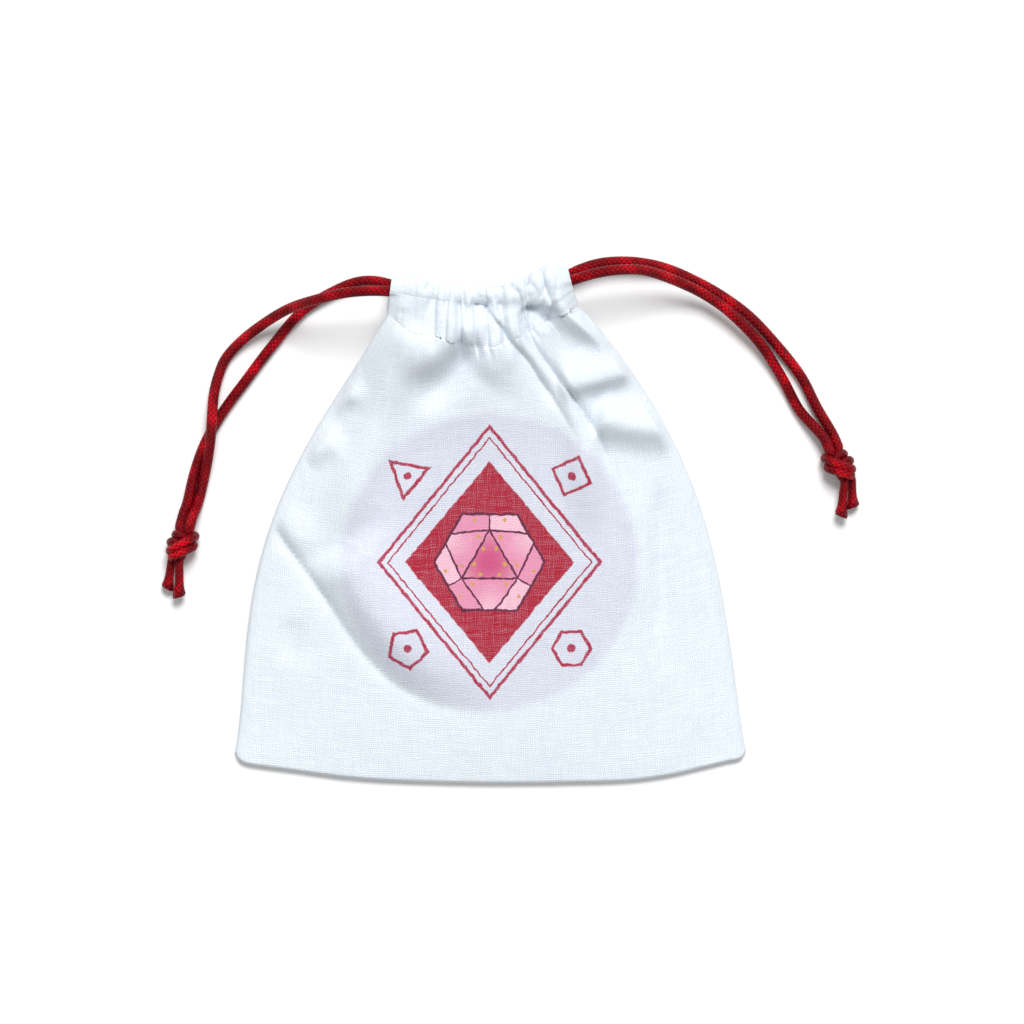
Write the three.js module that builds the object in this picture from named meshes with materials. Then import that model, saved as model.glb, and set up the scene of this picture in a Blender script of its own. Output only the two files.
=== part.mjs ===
// A small drawstring pouch of cotton canvas for a set of dice, lying on its back with the mouth drawn up.
// Millimetres. +X runs across the bag, +Y from the bottom seam to the mouth, +Z up off the table.
// Two panels are sewn together round three sides. The top of each is folded down and stitched into a
// tunnel, and two cords run through both tunnels, one leaving at each side, so pulling them apart shuts
// the mouth. Each cord's two strands end in one overhand knot and two short tails.
import * as THREE from "three";

// Cloth and cord
const cloth = 0.5;
const clearance = 0.3;
const seamWidth = 7;
const seamPly = 0.8;
const cordDiameter = 2.8;
const cordRadius = cordDiameter / 2;

// Outline of the bag as it lies
const baseWidth = 125.2;
const cornerY = -56;
const bottomBow = 7.8;
const leftBow = 10.7;
const rightBow = 11.6;

// The gathered hem: its folded top edge at even stations from left to right, and the depth of the
// tunnel below it, which the gathers shorten most at the two ends
const mouthWidth = 42.5;
const mouthCentre = -2.65;
const hemDepth = 15;
const hemTopHeights = [60.4, 60.7, 59.6, 58.9, 58.6, 59.4, 61.1, 63, 63.8];
const hemShortening = [4.2, 1.5, 1.7, 0.4, 0, 0.6, 1.1, 1.8, 3];
const leftFlare = 2.1;
const rightFlare = 3.4;
const hemRise = 2.4;
const mouthGap = 5;
const frontStitchLift = 2.8;
const backStitchLevel = 2.6;

// Pleats of the gathers
const pleatCount = 7;
const pleatHeight = 1.1;

// Cord run: the angle at which each cord leaves the hem, the angle of its inner half, and its turn
const leftPullAngle = 2.6;
const rightPullAngle = 10.9;
const leftTurnAngle = 1.5;
const rightTurnAngle = 7.5;
const turnInset = 2.6;
const turnRadius = 4.8;
const crossingDip = 0.4;
const leftSpread = 0.6;
const rightSpread = 0.8;
const exitLength = 1.6;

// Knots and tails
const knotLength = 7.4;
const knotWidth = 8.1;
const knotHeight = 7.2;
const wrapTilt = 38;
const wrapGroove = 0.9;
const tailLength = 8;
const tailFlare = 1.85;
const tailSpread = 9;

// Mesh density
const acrossCount = 24;
const alongCount = 20;
const hemStations = 33;
const cordSides = 8;
const knotRings = 22;
const knotSides = 28;

const degree = Math.PI / 180;
const lerp = THREE.MathUtils.lerp;

// Levels of the stacked layers at the mouth, from the table up
const tunnelHeight = 2 * cordDiameter + 3 * clearance;
const hemHeight = tunnelHeight + 2 * cloth;
const frontHemLow = hemHeight + mouthGap;
const frontHemHigh = frontHemLow + hemHeight;
const nearWallLevel = cloth + clearance + cordRadius;
const levels = {
  backOuter: nearWallLevel,
  backInner: hemHeight - nearWallLevel,
  frontInner: frontHemLow + nearWallLevel,
  frontOuter: frontHemHigh - nearWallLevel,
};
const seamStack = seamPly / 2 + clearance + cloth;
const seamTop = hemHeight + mouthGap / 2;
const frontStitchLevel = frontHemLow + frontStitchLift;

// Plan curves. Each takes a share from 0 to 1 and gives a point on the table.
const plan = (x, y) => new THREE.Vector2(x, y);
const mouthLeft = mouthCentre - mouthWidth / 2;
const mouthRight = mouthCentre + mouthWidth / 2;
const hemCount = hemTopHeights.length - 1;
const hemTop = new THREE.SplineCurve(
  hemTopHeights.map((y, i) => plan(lerp(mouthLeft, mouthRight, i / hemCount), y)),
);
const stitchLine = new THREE.SplineCurve(
  hemTopHeights.map((y, i) => {
    const x = lerp(mouthLeft - leftFlare, mouthRight + rightFlare, i / hemCount);
    return plan(x, y - hemDepth + hemShortening[i]);
  }),
);
const hemLeft = stitchLine.getPoint(0);
const hemRight = stitchLine.getPoint(1);

function sideEdge(corner, hemEnd, bow, peak) {
  return (v) => {
    const out = bow * Math.sin(Math.PI * v ** peak.shift) ** peak.sharpness;
    return plan(lerp(corner.x, hemEnd.x, v) + out * Math.sign(corner.x), lerp(corner.y, hemEnd.y, v));
  };
}

const leftCorner = plan(-baseWidth / 2, cornerY);
const rightCorner = plan(baseWidth / 2, cornerY);
const panelLeft = hemLeft.clone().sub(plan(0, clearance));
const panelRight = hemRight.clone().sub(plan(0, clearance));
const leftSide = sideEdge(leftCorner, panelLeft, leftBow, { shift: 1.08, sharpness: 1.15 });
const rightSide = sideEdge(rightCorner, panelRight, rightBow, { shift: 1.35, sharpness: 0.8 });
const bottomEdge = (u) => {
  const drop = bottomBow * (1 - Math.abs(2 * u - 1) ** 3.5);
  return plan(lerp(leftCorner.x, rightCorner.x, u), cornerY - drop);
};
const panelTop = (u) => stitchLine.getPoint(u).sub(plan(0, clearance));

// A point of a panel seen from above, blended from its four edges
function panelPlan(u, v) {
  const across = bottomEdge(u).multiplyScalar(1 - v).add(panelTop(u).multiplyScalar(v));
  const along = leftSide(v).multiplyScalar(1 - u).add(rightSide(v).multiplyScalar(u));
  const low = leftCorner.clone().lerp(rightCorner, u);
  const high = panelLeft.clone().lerp(panelRight, u);
  return across.add(along).sub(low.lerp(high, v));
}

// Heights. The side seam climbs from the table to the slit beside the mouth.
const smooth = (t) => THREE.MathUtils.smoothstep(t, 0, 1);
const seamLevel = (v) => seamStack + (seamTop - seamStack) * v ** 1.5;
const pleat = (u) => pleatHeight * (0.5 - 0.5 * Math.cos(2 * Math.PI * pleatCount * u));
const edgeShare = (u) => Math.abs(2 * u - 1);

function frontTopLevel(u, v) {
  const crown = 2 * seamStack + (frontStitchLevel + cloth - 2 * seamStack) * v ** 0.8;
  const low = seamLevel(v) + seamStack;
  const body = low + Math.max(0, crown - low) * (1 - edgeShare(u) ** 2.4);
  return body + pleat(u) * smooth((v - 0.6) / 0.4) * (1 - edgeShare(u) ** 4);
}

function backLowLevel(u, v) {
  const turnUp = smooth((edgeShare(u) - 0.4) / 0.6);
  const sides = (seamLevel(v) - seamStack) * turnUp;
  const lift = backStitchLevel * smooth((v - 0.86) / 0.14) * (1 - turnUp);
  return sides + lift;
}

// A closed solid from a grid of top points and a grid of bottom points with the same edges
function slab(columns, rows, topPoint, lowPoint) {
  const positions = [];
  const faces = [];
  const layer = (columns + 1) * (rows + 1);
  for (const point of [topPoint, lowPoint]) {
    for (let j = 0; j <= rows; j++) {
      for (let i = 0; i <= columns; i++) {
        positions.push(...point(i / columns, j / rows));
      }
    }
  }
  const at = (i, j, side) => side * layer + j * (columns + 1) + i;
  const quad = (a, b, c, d) => faces.push(a, b, c, a, c, d);
  for (let j = 0; j < rows; j++) {
    for (let i = 0; i < columns; i++) {
      quad(at(i, j, 0), at(i + 1, j, 0), at(i + 1, j + 1, 0), at(i, j + 1, 0));
      quad(at(i, j, 1), at(i, j + 1, 1), at(i + 1, j + 1, 1), at(i + 1, j, 1));
    }
  }
  for (let i = 0; i < columns; i++) {
    quad(at(i, 0, 1), at(i + 1, 0, 1), at(i + 1, 0, 0), at(i, 0, 0));
    quad(at(i + 1, rows, 1), at(i, rows, 1), at(i, rows, 0), at(i + 1, rows, 0));
  }
  for (let j = 0; j < rows; j++) {
    quad(at(0, j + 1, 1), at(0, j, 1), at(0, j, 0), at(0, j + 1, 0));
    quad(at(columns, j, 1), at(columns, j + 1, 1), at(columns, j + 1, 0), at(columns, j, 0));
  }
  return indexed(positions, faces);
}

function indexed(positions, faces) {
  const geometry = new THREE.BufferGeometry();
  geometry.setAttribute("position", new THREE.Float32BufferAttribute(positions, 3));
  geometry.setIndex(faces);
  return geometry;
}

function frontPanel() {
  const place = (u, v, z) => [...panelPlan(u, v).toArray(), z];
  return slab(
    acrossCount,
    alongCount,
    (u, v) => place(u, v, frontTopLevel(u, v)),
    (u, v) => place(u, v, frontTopLevel(u, v) - cloth),
  );
}

function backPanel() {
  const place = (u, v, z) => [...panelPlan(u, v).toArray(), z];
  return slab(
    acrossCount,
    alongCount,
    (u, v) => place(u, v, backLowLevel(u, v) + cloth),
    (u, v) => place(u, v, backLowLevel(u, v)),
  );
}

// The turned-in edges of the two panels, pressed together inside the seam
function sideAllowance(side, inward) {
  const start = (seamWidth + 3 * clearance) / (panelLeft.y - cornerY);
  const end = 1 - clearance / (panelLeft.y - cornerY);
  const point = (z) => (u, t) => {
    const v = lerp(start, end, t);
    const inset = clearance + u * seamWidth;
    const edge = side(v);
    return [edge.x + inward * inset, edge.y, seamLevel(v) + z];
  };
  const high = point(seamPly / 2);
  const low = point(-seamPly / 2);
  const mirror = (f) => (inward > 0 ? f : (u, t) => f(1 - u, t));
  return slab(1, alongCount, mirror(high), mirror(low));
}

function bottomAllowance() {
  const margin = 0.025;
  const point = (z) => (u, t) => {
    const edge = bottomEdge(lerp(margin, 1 - margin, u));
    return [edge.x, edge.y + clearance + t * seamWidth, seamStack + z];
  };
  return slab(acrossCount, 1, point(seamPly / 2), point(-seamPly / 2));
}

// One station of a hem tunnel: the outline of the folded cloth and of the tunnel inside it, each as
// [distance above the stitches, height from the wall beside the mouth]. The first points of a ring
// run along that wall, the next ones round the fold, and the last ones back along the outer wall.
function hemSection(depth, stitchHeight, height, rise) {
  const holeCorner = cordRadius + clearance;
  const foldSteps = [0, 30, 60, 90];
  const ring = (inset, corner, tip) => {
    const half = cloth - 0.85 * inset;
    const foldX = depth - inset - corner;
    const round = (y, start) =>
      foldSteps.map((step) => {
        const angle = (start + step) * degree;
        return [foldX + corner * Math.cos(angle), y + corner * Math.sin(angle)];
      });
    return [
      [tip, stitchHeight - half],
      [rise, inset],
      ...round(inset + corner, -90),
      ...round(height - inset - corner, 0),
      [rise, height - inset],
      [tip, stitchHeight + half],
    ];
  };
  return { outer: ring(0, holeCorner + cloth, 0), hole: ring(cloth, holeCorner, 1.6 * cloth) };
}

// Lofts the stations into a tunnel open at both ends. The wall beside the mouth stops short of each
// end, which leaves the slit that the cords turn in. outward is 1 for the front hem and -1 for the back.
function hemTunnel(mouthFace, outward, sectionAt) {
  const positions = [];
  const faces = [];
  let count = 0;
  for (let k = 0; k < hemStations; k++) {
    const u = k / (hemStations - 1);
    const foot = stitchLine.getPoint(u);
    const head = hemTop.getPoint(u);
    const depth = foot.distanceTo(head);
    const up = head.sub(foot).normalize();
    const { outer, hole } = sectionAt(u, depth);
    count = outer.length;
    for (const [distance, height] of [...outer, ...hole]) {
      positions.push(foot.x + up.x * distance, foot.y + up.y * distance, mouthFace + outward * height);
    }
  }
  const last = hemStations - 1;
  const slitShare = (turnInset + turnRadius) / mouthWidth;
  const wallStart = Math.ceil(slitShare * last);
  const wallEnd = last - wallStart;
  const at = (k, ring, i) => (k * 2 + ring) * count + (i % count);
  const quad = (a, b, c, d) => {
    if (outward > 0) faces.push(a, b, c, a, c, d);
    else faces.push(a, c, b, a, d, c);
  };
  const foldStart = 2;
  for (let k = 0; k < last; k++) {
    const walled = k >= wallStart && k < wallEnd;
    for (let i = walled ? 0 : foldStart; i < count; i++) {
      quad(at(k, 0, i), at(k, 0, i + 1), at(k + 1, 0, i + 1), at(k + 1, 0, i));
      if (i < count - 1 || walled) {
        quad(at(k, 1, i + 1), at(k, 1, i), at(k + 1, 1, i), at(k + 1, 1, i + 1));
      } else {
        quad(at(k, 1, count), at(k, 1, i), at(k + 1, 1, i), at(k + 1, 1, count));
      }
    }
    if (!walled) {
      quad(at(k, 0, 0), at(k, 1, 0), at(k + 1, 1, 0), at(k + 1, 0, 0));
      quad(at(k, 1, foldStart), at(k, 0, foldStart), at(k + 1, 0, foldStart), at(k + 1, 1, foldStart));
    }
  }
  const cap = (k, from, to, forward) => {
    for (let i = from; i < to; i++) {
      if (forward) quad(at(k, 0, i), at(k, 0, i + 1), at(k, 1, i + 1), at(k, 1, i));
      else quad(at(k, 0, i + 1), at(k, 0, i), at(k, 1, i), at(k, 1, i + 1));
    }
  };
  cap(0, foldStart, count, false);
  cap(last, foldStart, count, true);
  cap(wallStart, 0, foldStart, false);
  cap(wallEnd, 0, foldStart, true);
  return indexed(positions, faces);
}

// The tunnel stands up more steeply from its stitches near the two ends
const rise = (u) => hemRise * (1 - 0.5 * edgeShare(u) ** 3);

function frontHem() {
  const stitch = (u) => frontTopLevel(u, 1) - cloth / 2 - frontHemLow;
  return hemTunnel(frontHemLow, 1, (u, depth) =>
    hemSection(depth, stitch(u), hemHeight + pleat(u), rise(u)),
  );
}

function backHem() {
  const stitch = (u) => hemHeight - backLowLevel(u, 1) - cloth / 2;
  return hemTunnel(hemHeight, -1, (u, depth) => hemSection(depth, stitch(u), hemHeight, rise(u)));
}

// Cords
const outline = new THREE.Shape(
  Array.from({ length: cordSides }, (_, i) => {
    const angle = ((i + 0.5) * 2 * Math.PI) / cordSides;
    return plan(cordRadius * Math.cos(angle), cordRadius * Math.sin(angle));
  }),
);

function tube(points, steps, section = outline) {
  const path = new THREE.CatmullRomCurve3(
    points.map((p) => new THREE.Vector3(...p)),
    false,
    "centripetal",
  );
  return new THREE.ExtrudeGeometry(section, { steps, bevelEnabled: false, extrudePath: path });
}

// Each cord crosses the other under the lowest dip of the hem's top edge
const crossingX = mouthCentre;
const crossingY = Math.min(...hemTopHeights) - cloth - clearance - cordRadius - crossingDip;

// side is -1 for the cord that leaves on the left and 1 for the one on the right
function cordRun(side, pullAngle, turnAngle, spread, frontLevel, backLevel) {
  const outwardSlope = Math.tan(pullAngle * degree);
  const inwardSlope = Math.tan(turnAngle * degree) * side;
  const exitX = side < 0 ? mouthLeft - leftFlare : mouthRight + rightFlare;
  const turnX = side < 0 ? mouthRight - turnInset : mouthLeft + turnInset;
  const lineY = (x) => crossingY + Math.abs(x - crossingX) * outwardSlope;
  const end = exitX + side * exitLength;
  const turnY = (x) => crossingY + (x - crossingX) * inwardSlope;
  const halfWay = lerp(exitX, crossingX, 0.5);
  const beyond = lerp(crossingX, turnX, 0.4);
  const strand = (offset, z) => [
    [end, lineY(end) + offset, z],
    [exitX, lineY(exitX) + offset, z],
    [halfWay, lineY(halfWay) + 0.3 * offset, z],
    [crossingX, crossingY, z],
    [beyond, turnY(beyond), z],
  ];
  const bend = (level, centre, angles) =>
    angles.map((a) => [
      turnX + side * turnRadius - side * turnRadius * Math.cos(a * degree),
      turnY(turnX),
      centre + turnRadius * Math.sin(a * degree) * Math.sign(level - centre),
    ]);
  const high = bend(frontLevel, frontLevel - turnRadius, [90, 67.5, 45, 22.5, 0]);
  const low = bend(backLevel, backLevel + turnRadius, [0, 22.5, 45, 67.5, 90]);
  const upright = frontLevel - backLevel > 2 * turnRadius + 1;
  const middle = upright ? [[turnX, turnY(turnX), (frontLevel + backLevel) / 2]] : [];
  return {
    end,
    lineY,
    points: [
      ...strand(-spread, frontLevel),
      ...high,
      ...middle,
      ...(upright ? low : low.slice(1)),
      ...strand(spread, backLevel).reverse(),
    ],
  };
}

const leftRun = cordRun(
  -1, leftPullAngle, leftTurnAngle, leftSpread, levels.frontOuter, levels.backOuter,
);
const rightRun = cordRun(
  1, rightPullAngle, rightTurnAngle, rightSpread, levels.frontInner, levels.backInner,
);

// Where the free strands lie. The first points run straight out of the hem, then the route is the
// photographed one: [x, y, z] chosen by hand, with z the centre of the cord above the table.
const floor = cordRadius + 0.05;
const straight = 9;

function strandStart(run, side, offset, level) {
  const from = run.end + side * clearance;
  const to = from + side * straight;
  return [from, lerp(from, to, 0.5), to].map((x) => [x, run.lineY(x) + offset, level]);
}

const leftFrontRoute = [
  [-42.2, 55.4, 14.6],
  [-49.1, 52.2, 8.6],
  [-55.3, 48.7, 4.4],
  [-61.2, 44.2, 2.0],
  [-64.9, 40, floor],
  [-66.6, 35.9, 1.7],
  [-67.7, 31.2, 2.8],
  [-68.1, 25.6, 4.5],
  [-68.2, 20, 4.4],
  [-69.2, 12.4, 2.2],
  [-71.4, 4.5, 1.7],
];
const leftBackRoute = [
  [-38.6, 57, 1.8],
  [-46, 51.8, floor],
  [-53.8, 42.8, floor],
  [-60, 34.6, floor],
  [-63.9, 29.4, floor],
  [-66.9, 24.9, floor],
  [-70.5, 18.7, floor],
  [-72.9, 12.4, floor],
  [-75, 4.5, 1.7],
];
const rightFrontRoute = [
  [36.6, 61.9, 13],
  [42, 60.3, 9.8],
  [47, 58.3, 7],
  [52, 55.9, 5],
  [57, 52.6, 4.4],
  [62, 48.1, 3.9],
  [66.4, 43.2, 3],
  [71.5, 35.2, 1.7],
  [75.6, 27.6, floor],
];
const rightBackRoute = [
  [37, 63.6, 4.2],
  [43.5, 62, 2.4],
  [52, 58.2, floor],
  [58, 54.6, floor],
  [63.5, 50.4, floor],
  [69.9, 43.6, floor],
  [76, 35.8, floor],
  [80, 28, 1.6],
];

// A knot's middle, and the directions of the cord through it and of the tails that leave it
const leftKnot = { centre: [-75.9, -5.3, knotHeight / 2], heading: -105, tailHeading: -95 };
const rightKnot = { centre: [85.7, 14.3, knotHeight / 2], heading: -66, tailHeading: -91 };

// The knot's own axes: along the cord, across it and up
function knotFrame(knot) {
  const along = new THREE.Vector3(Math.cos(knot.heading * degree), Math.sin(knot.heading * degree), 0);
  const up = new THREE.Vector3(0, 0, 1);
  const across = new THREE.Vector3().crossVectors(up, along);
  const centre = new THREE.Vector3(...knot.centre);
  return (a, b, c) =>
    centre.clone().addScaledVector(along, a).addScaledVector(across, b).addScaledVector(up, c).toArray();
}

const pairGap = cordRadius + clearance / 2;
const knotReach = knotLength / 2 + 0.6;
const strandDip = -0.6;

// Half the width of an oval at an angle from its long axis
function ovalRadius(halfWidth, halfHeight, angle) {
  return 1 / Math.hypot(Math.cos(angle) / halfWidth, Math.sin(angle) / halfHeight);
}

// An overhand knot drawn up in both strands at once, made ring by ring along the cord. Its core is as
// wide as the two strands side by side, and the wraps lie over it side by side on the slant.
function knotSolid(knot) {
  const at = knotFrame(knot);
  const tilt = Math.tan(wrapTilt * degree);
  const positions = [];
  const faces = [];
  for (let i = 0; i <= knotRings; i++) {
    const along = lerp(-knotReach, knotReach, i / knotRings);
    const end = Math.min(1, Math.abs(along) / (knotLength / 2));
    const swell = Math.sqrt(1 - end ** 3);
    const lift = strandDip * (along / knotReach) ** 2;
    for (let j = 0; j < knotSides; j++) {
      const angle = (2 * Math.PI * j) / knotSides;
      const core = ovalRadius(pairGap + cordRadius, cordRadius, angle);
      const body = ovalRadius(knotWidth / 2, knotHeight / 2, angle);
      const slant = along - tilt * body * Math.cos(angle) * swell;
      const crest = Math.abs(Math.sin(Math.PI * (slant / cordDiameter + j / knotSides)));
      const wrapped = (body - wrapGroove * (1 - crest)) * swell;
      const radius = Math.max(core, wrapped);
      positions.push(...at(along, radius * Math.cos(angle), radius * Math.sin(angle) + lift));
    }
  }
  positions.push(...at(-knotReach, 0, strandDip), ...at(knotReach, 0, strandDip));
  const point = (i, j) => i * knotSides + (j % knotSides);
  const firstCap = (knotRings + 1) * knotSides;
  for (let j = 0; j < knotSides; j++) {
    for (let i = 0; i < knotRings; i++) {
      faces.push(point(i, j), point(i, j + 1), point(i + 1, j + 1));
      faces.push(point(i, j), point(i + 1, j + 1), point(i + 1, j));
    }
    faces.push(firstCap, point(0, j + 1), point(0, j));
    faces.push(firstCap + 1, point(knotRings, j), point(knotRings, j + 1));
  }
  return indexed(positions, faces);
}

// Where a tail leaves the knot, and its direction down to the table
function tailLine(knot, side) {
  const foot = new THREE.Vector3(...knotFrame(knot)(knotReach, side * pairGap, strandDip));
  const aim = (knot.tailHeading + side * tailSpread) * degree;
  const end = foot.clone();
  end.x += tailLength * Math.cos(aim);
  end.y += tailLength * Math.sin(aim);
  end.z = tailFlare;
  const direction = end.sub(foot).normalize();
  const heading = new THREE.Vector3(Math.cos(knot.heading * degree), Math.sin(knot.heading * degree), 0);
  return { foot, direction, lean: cordRadius * Math.sin(direction.angleTo(heading)) };
}

// A tail is cut and heat sealed, so its end flares into a bead
function tailSolid(knot, side) {
  const { foot, direction, lean } = tailLine(knot, side);
  const start = foot.addScaledVector(direction, clearance + lean);
  const length = tailLength;
  const profile = [
    [0, 0],
    [cordRadius * 0.85, 0],
    [cordRadius * 0.85, length * 0.35],
    [cordRadius, length * 0.66],
    [tailFlare, length * 0.86],
    [tailFlare * 0.92, length * 0.97],
    [0, length],
  ].map(([r, z]) => plan(r, z));
  const lathe = new THREE.LatheGeometry(profile, 10);
  const turn = new THREE.Quaternion().setFromUnitVectors(new THREE.Vector3(0, 1, 0), direction);
  lathe.applyQuaternion(turn);
  lathe.translate(start.x, start.y, start.z);
  return lathe;
}

function strandSolid(run, side, offset, level, route, knot, knotSide) {
  const at = knotFrame(knot);
  const into = [
    at(-knotReach - clearance - cordDiameter, knotSide * pairGap, 1.5 * strandDip),
    at(-knotReach - clearance, knotSide * pairGap, strandDip),
  ];
  return tube([...strandStart(run, side, offset, level), ...route, ...into], 15);
}

// Materials
const canvas = { color: 0xe9eaf1, roughness: 0.92, metalness: 0 };
const satin = { color: 0xa3061a, roughness: 0.42, metalness: 0 };

function part(name, geometry, finish) {
  const mesh = new THREE.Mesh(geometry, new THREE.MeshStandardMaterial(finish));
  mesh.name = name;
  return mesh;
}

const bag = new THREE.Group();
bag.add(
  part("front_panel", frontPanel(), canvas),
  part("back_panel", backPanel(), canvas),
  part("front_hem_tunnel", frontHem(), canvas),
  part("back_hem_tunnel", backHem(), canvas),
  part("left_seam_allowance", sideAllowance(leftSide, 1), canvas),
  part("right_seam_allowance", sideAllowance(rightSide, -1), canvas),
  part("bottom_seam_allowance", bottomAllowance(), canvas),
);

function drawcord(name, run, side, spread, high, low, frontRoute, backRoute, knot, frontKnotSide) {
  const group = new THREE.Group();
  group.add(
    part(`${name}_cord_loop`, tube(run.points, 40), satin),
    part(
      `${name}_strand_front`,
      strandSolid(run, side, -spread, high, frontRoute, knot, frontKnotSide),
      satin,
    ),
    part(
      `${name}_strand_back`,
      strandSolid(run, side, spread, low, backRoute, knot, -frontKnotSide),
      satin,
    ),
    part(`${name}_knot`, knotSolid(knot), satin),
    part(`${name}_tail_front`, tailSolid(knot, frontKnotSide), satin),
    part(`${name}_tail_back`, tailSolid(knot, -frontKnotSide), satin),
  );
  return group;
}

bag.add(
  drawcord(
    "left", leftRun, -1, leftSpread, levels.frontOuter, levels.backOuter,
    leftFrontRoute, leftBackRoute, leftKnot, 1,
  ),
  drawcord(
    "right", rightRun, 1, rightSpread, levels.frontInner, levels.backInner,
    rightFrontRoute, rightBackRoute, rightKnot, -1,
  ),
);

export default bag;
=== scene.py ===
# A small drawstring pouch of white cotton canvas with two red satin drawcords, lying on a table.
# Lengths are in millimetres until a mesh is made, and heights are measured up from the table.
import math
import bpy
import numpy as np
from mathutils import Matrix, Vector


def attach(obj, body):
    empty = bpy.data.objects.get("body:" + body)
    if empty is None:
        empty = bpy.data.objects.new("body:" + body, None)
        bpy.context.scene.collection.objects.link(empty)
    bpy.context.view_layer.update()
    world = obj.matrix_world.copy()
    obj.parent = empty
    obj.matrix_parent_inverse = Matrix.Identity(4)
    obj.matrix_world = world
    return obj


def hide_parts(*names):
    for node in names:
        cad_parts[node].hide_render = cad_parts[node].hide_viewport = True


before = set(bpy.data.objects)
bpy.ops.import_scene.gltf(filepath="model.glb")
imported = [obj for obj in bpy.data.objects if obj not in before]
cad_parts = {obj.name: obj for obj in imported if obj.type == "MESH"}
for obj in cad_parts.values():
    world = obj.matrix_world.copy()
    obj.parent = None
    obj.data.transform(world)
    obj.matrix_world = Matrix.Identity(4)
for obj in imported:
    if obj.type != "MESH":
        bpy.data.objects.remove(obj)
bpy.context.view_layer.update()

MM = 0.001
DEGREE = math.pi / 180


def add_object(name, data):
    obj = bpy.data.objects.new(name, data)
    bpy.context.scene.collection.objects.link(obj)
    return obj


# Camera straight above the bag, with a long lens
PHOTO_WIDTH = 250.9
PHOTO_CENTRE = (5.27, 2.57)
LENS = 300
SENSOR = 36


def add_camera():
    data = bpy.data.cameras.new("camera")
    data.lens = LENS
    data.sensor_width = SENSOR
    data.clip_end = 10
    camera = add_object("camera", data)
    camera.location = [n * MM for n in (*PHOTO_CENTRE, PHOTO_WIDTH * LENS / SENSOR)]
    bpy.context.scene.camera = camera


add_camera()


# Curves and meshes
def between(t, low, high, a, b):
    """a at low and b at high, and in proportion elsewhere."""
    return (high - t) / (high - low) * a + (t - low) / (high - low) * b


def smooth_curve(points, step):
    """A centripetal Catmull-Rom curve through the points, in even steps."""
    p = np.array(points, float)
    p = np.vstack([2 * p[0] - p[1], p, 2 * p[-1] - p[-2]])
    knots = np.concatenate([[0], np.cumsum(np.sqrt(np.linalg.norm(np.diff(p, axis=0), axis=1)))])
    fine = []
    for i in range(1, len(p) - 2):
        t0, t1, t2, t3 = knots[i - 1:i + 3]
        t = np.linspace(t1, t2, 24, endpoint=False)[:, None]
        a1 = between(t, t0, t1, p[i - 1], p[i])
        a2 = between(t, t1, t2, p[i], p[i + 1])
        a3 = between(t, t2, t3, p[i + 1], p[i + 2])
        b1 = between(t, t0, t2, a1, a2)
        b2 = between(t, t1, t3, a2, a3)
        fine.append(between(t, t1, t2, b1, b2))
    fine.append(p[-2:-1])
    return even_steps(np.vstack(fine), step)


def lengths_along(points):
    return np.concatenate([[0], np.cumsum(np.linalg.norm(np.diff(points, axis=0), axis=1))])


def sample(line, run, at):
    """The line's points at the lengths in at, where run holds the length up to each of its points."""
    return np.stack([np.interp(at, run, line[:, k]) for k in range(line.shape[1])], axis=-1)


def even_steps(points, step):
    run = lengths_along(points)
    count = max(2, int(round(run[-1] / step)) + 1)
    return sample(points, run, np.linspace(0, run[-1], count))


def smooth_step(t):
    t = np.clip(t, 0, 1)
    return t * t * (3 - 2 * t)


def unit(vectors):
    return vectors / np.linalg.norm(vectors, axis=-1, keepdims=True)


def mesh_object(name, vertices, faces, uv=None, materials=()):
    """vertices in millimetres; uv gives one pair for each vertex."""
    mesh = bpy.data.meshes.new(name)
    mesh.from_pydata((np.asarray(vertices) * MM).tolist(), [], faces)
    mesh.polygons.foreach_set("use_smooth", [True] * len(mesh.polygons))
    if uv is not None:
        layer = mesh.uv_layers.new(name="UVMap")
        corners = np.empty(len(mesh.loops), dtype=np.int32)
        mesh.loops.foreach_get("vertex_index", corners)
        layer.data.foreach_set("uv", np.asarray(uv, dtype=np.float32)[corners].ravel())
    for material in materials:
        mesh.materials.append(material)
    return add_object(name, mesh)


def carry(start, tangent):
    """Unit vectors square to each tangent, which turn with it from the start and never spin."""
    side = [start]
    for t in tangent[1:]:
        side.append(unit(side[-1] - t * np.dot(side[-1], t)))
    return np.array(side)


def frames_along(path):
    """Two unit vectors square to the path at each point."""
    tangent = unit(np.gradient(path, axis=0))
    start = np.cross(tangent[0], [0, 0, 1])
    if np.linalg.norm(start) < 0.1:
        start = np.cross(tangent[0], [1, 0, 0])
    side = carry(unit(start), tangent)
    return side, np.cross(side, tangent)


# Nodes
class Field:
    """An output of a node. Sums and products of fields and numbers add the nodes that work them out."""

    def __init__(self, nodes, socket):
        self.nodes = nodes
        self.socket = socket

    def do(self, operation, *values):
        return self.nodes.math(operation, self, *values)

    def __add__(self, other):
        return self.do("ADD", other)

    def __sub__(self, other):
        return self.do("SUBTRACT", other)

    def __rsub__(self, other):
        return self.nodes.math("SUBTRACT", other, self)

    def __mul__(self, other):
        return self.do("MULTIPLY", other)

    __radd__ = __add__
    __rmul__ = __mul__

    def __abs__(self):
        return self.do("ABSOLUTE")

    def sin(self):
        return self.do("SINE")

    def cos(self):
        return self.do("COSINE")

    def max(self, other):
        return self.do("MAXIMUM", other)

    def ramp(self, low, high, at_low=0.0, at_high=1.0):
        """A smooth step of the value between low and high."""
        inputs = {0: self, 1: low, 2: high, 3: at_low, 4: at_high}
        return self.nodes.field("ShaderNodeMapRange", inputs, interpolation_type="SMOOTHSTEP")


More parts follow.
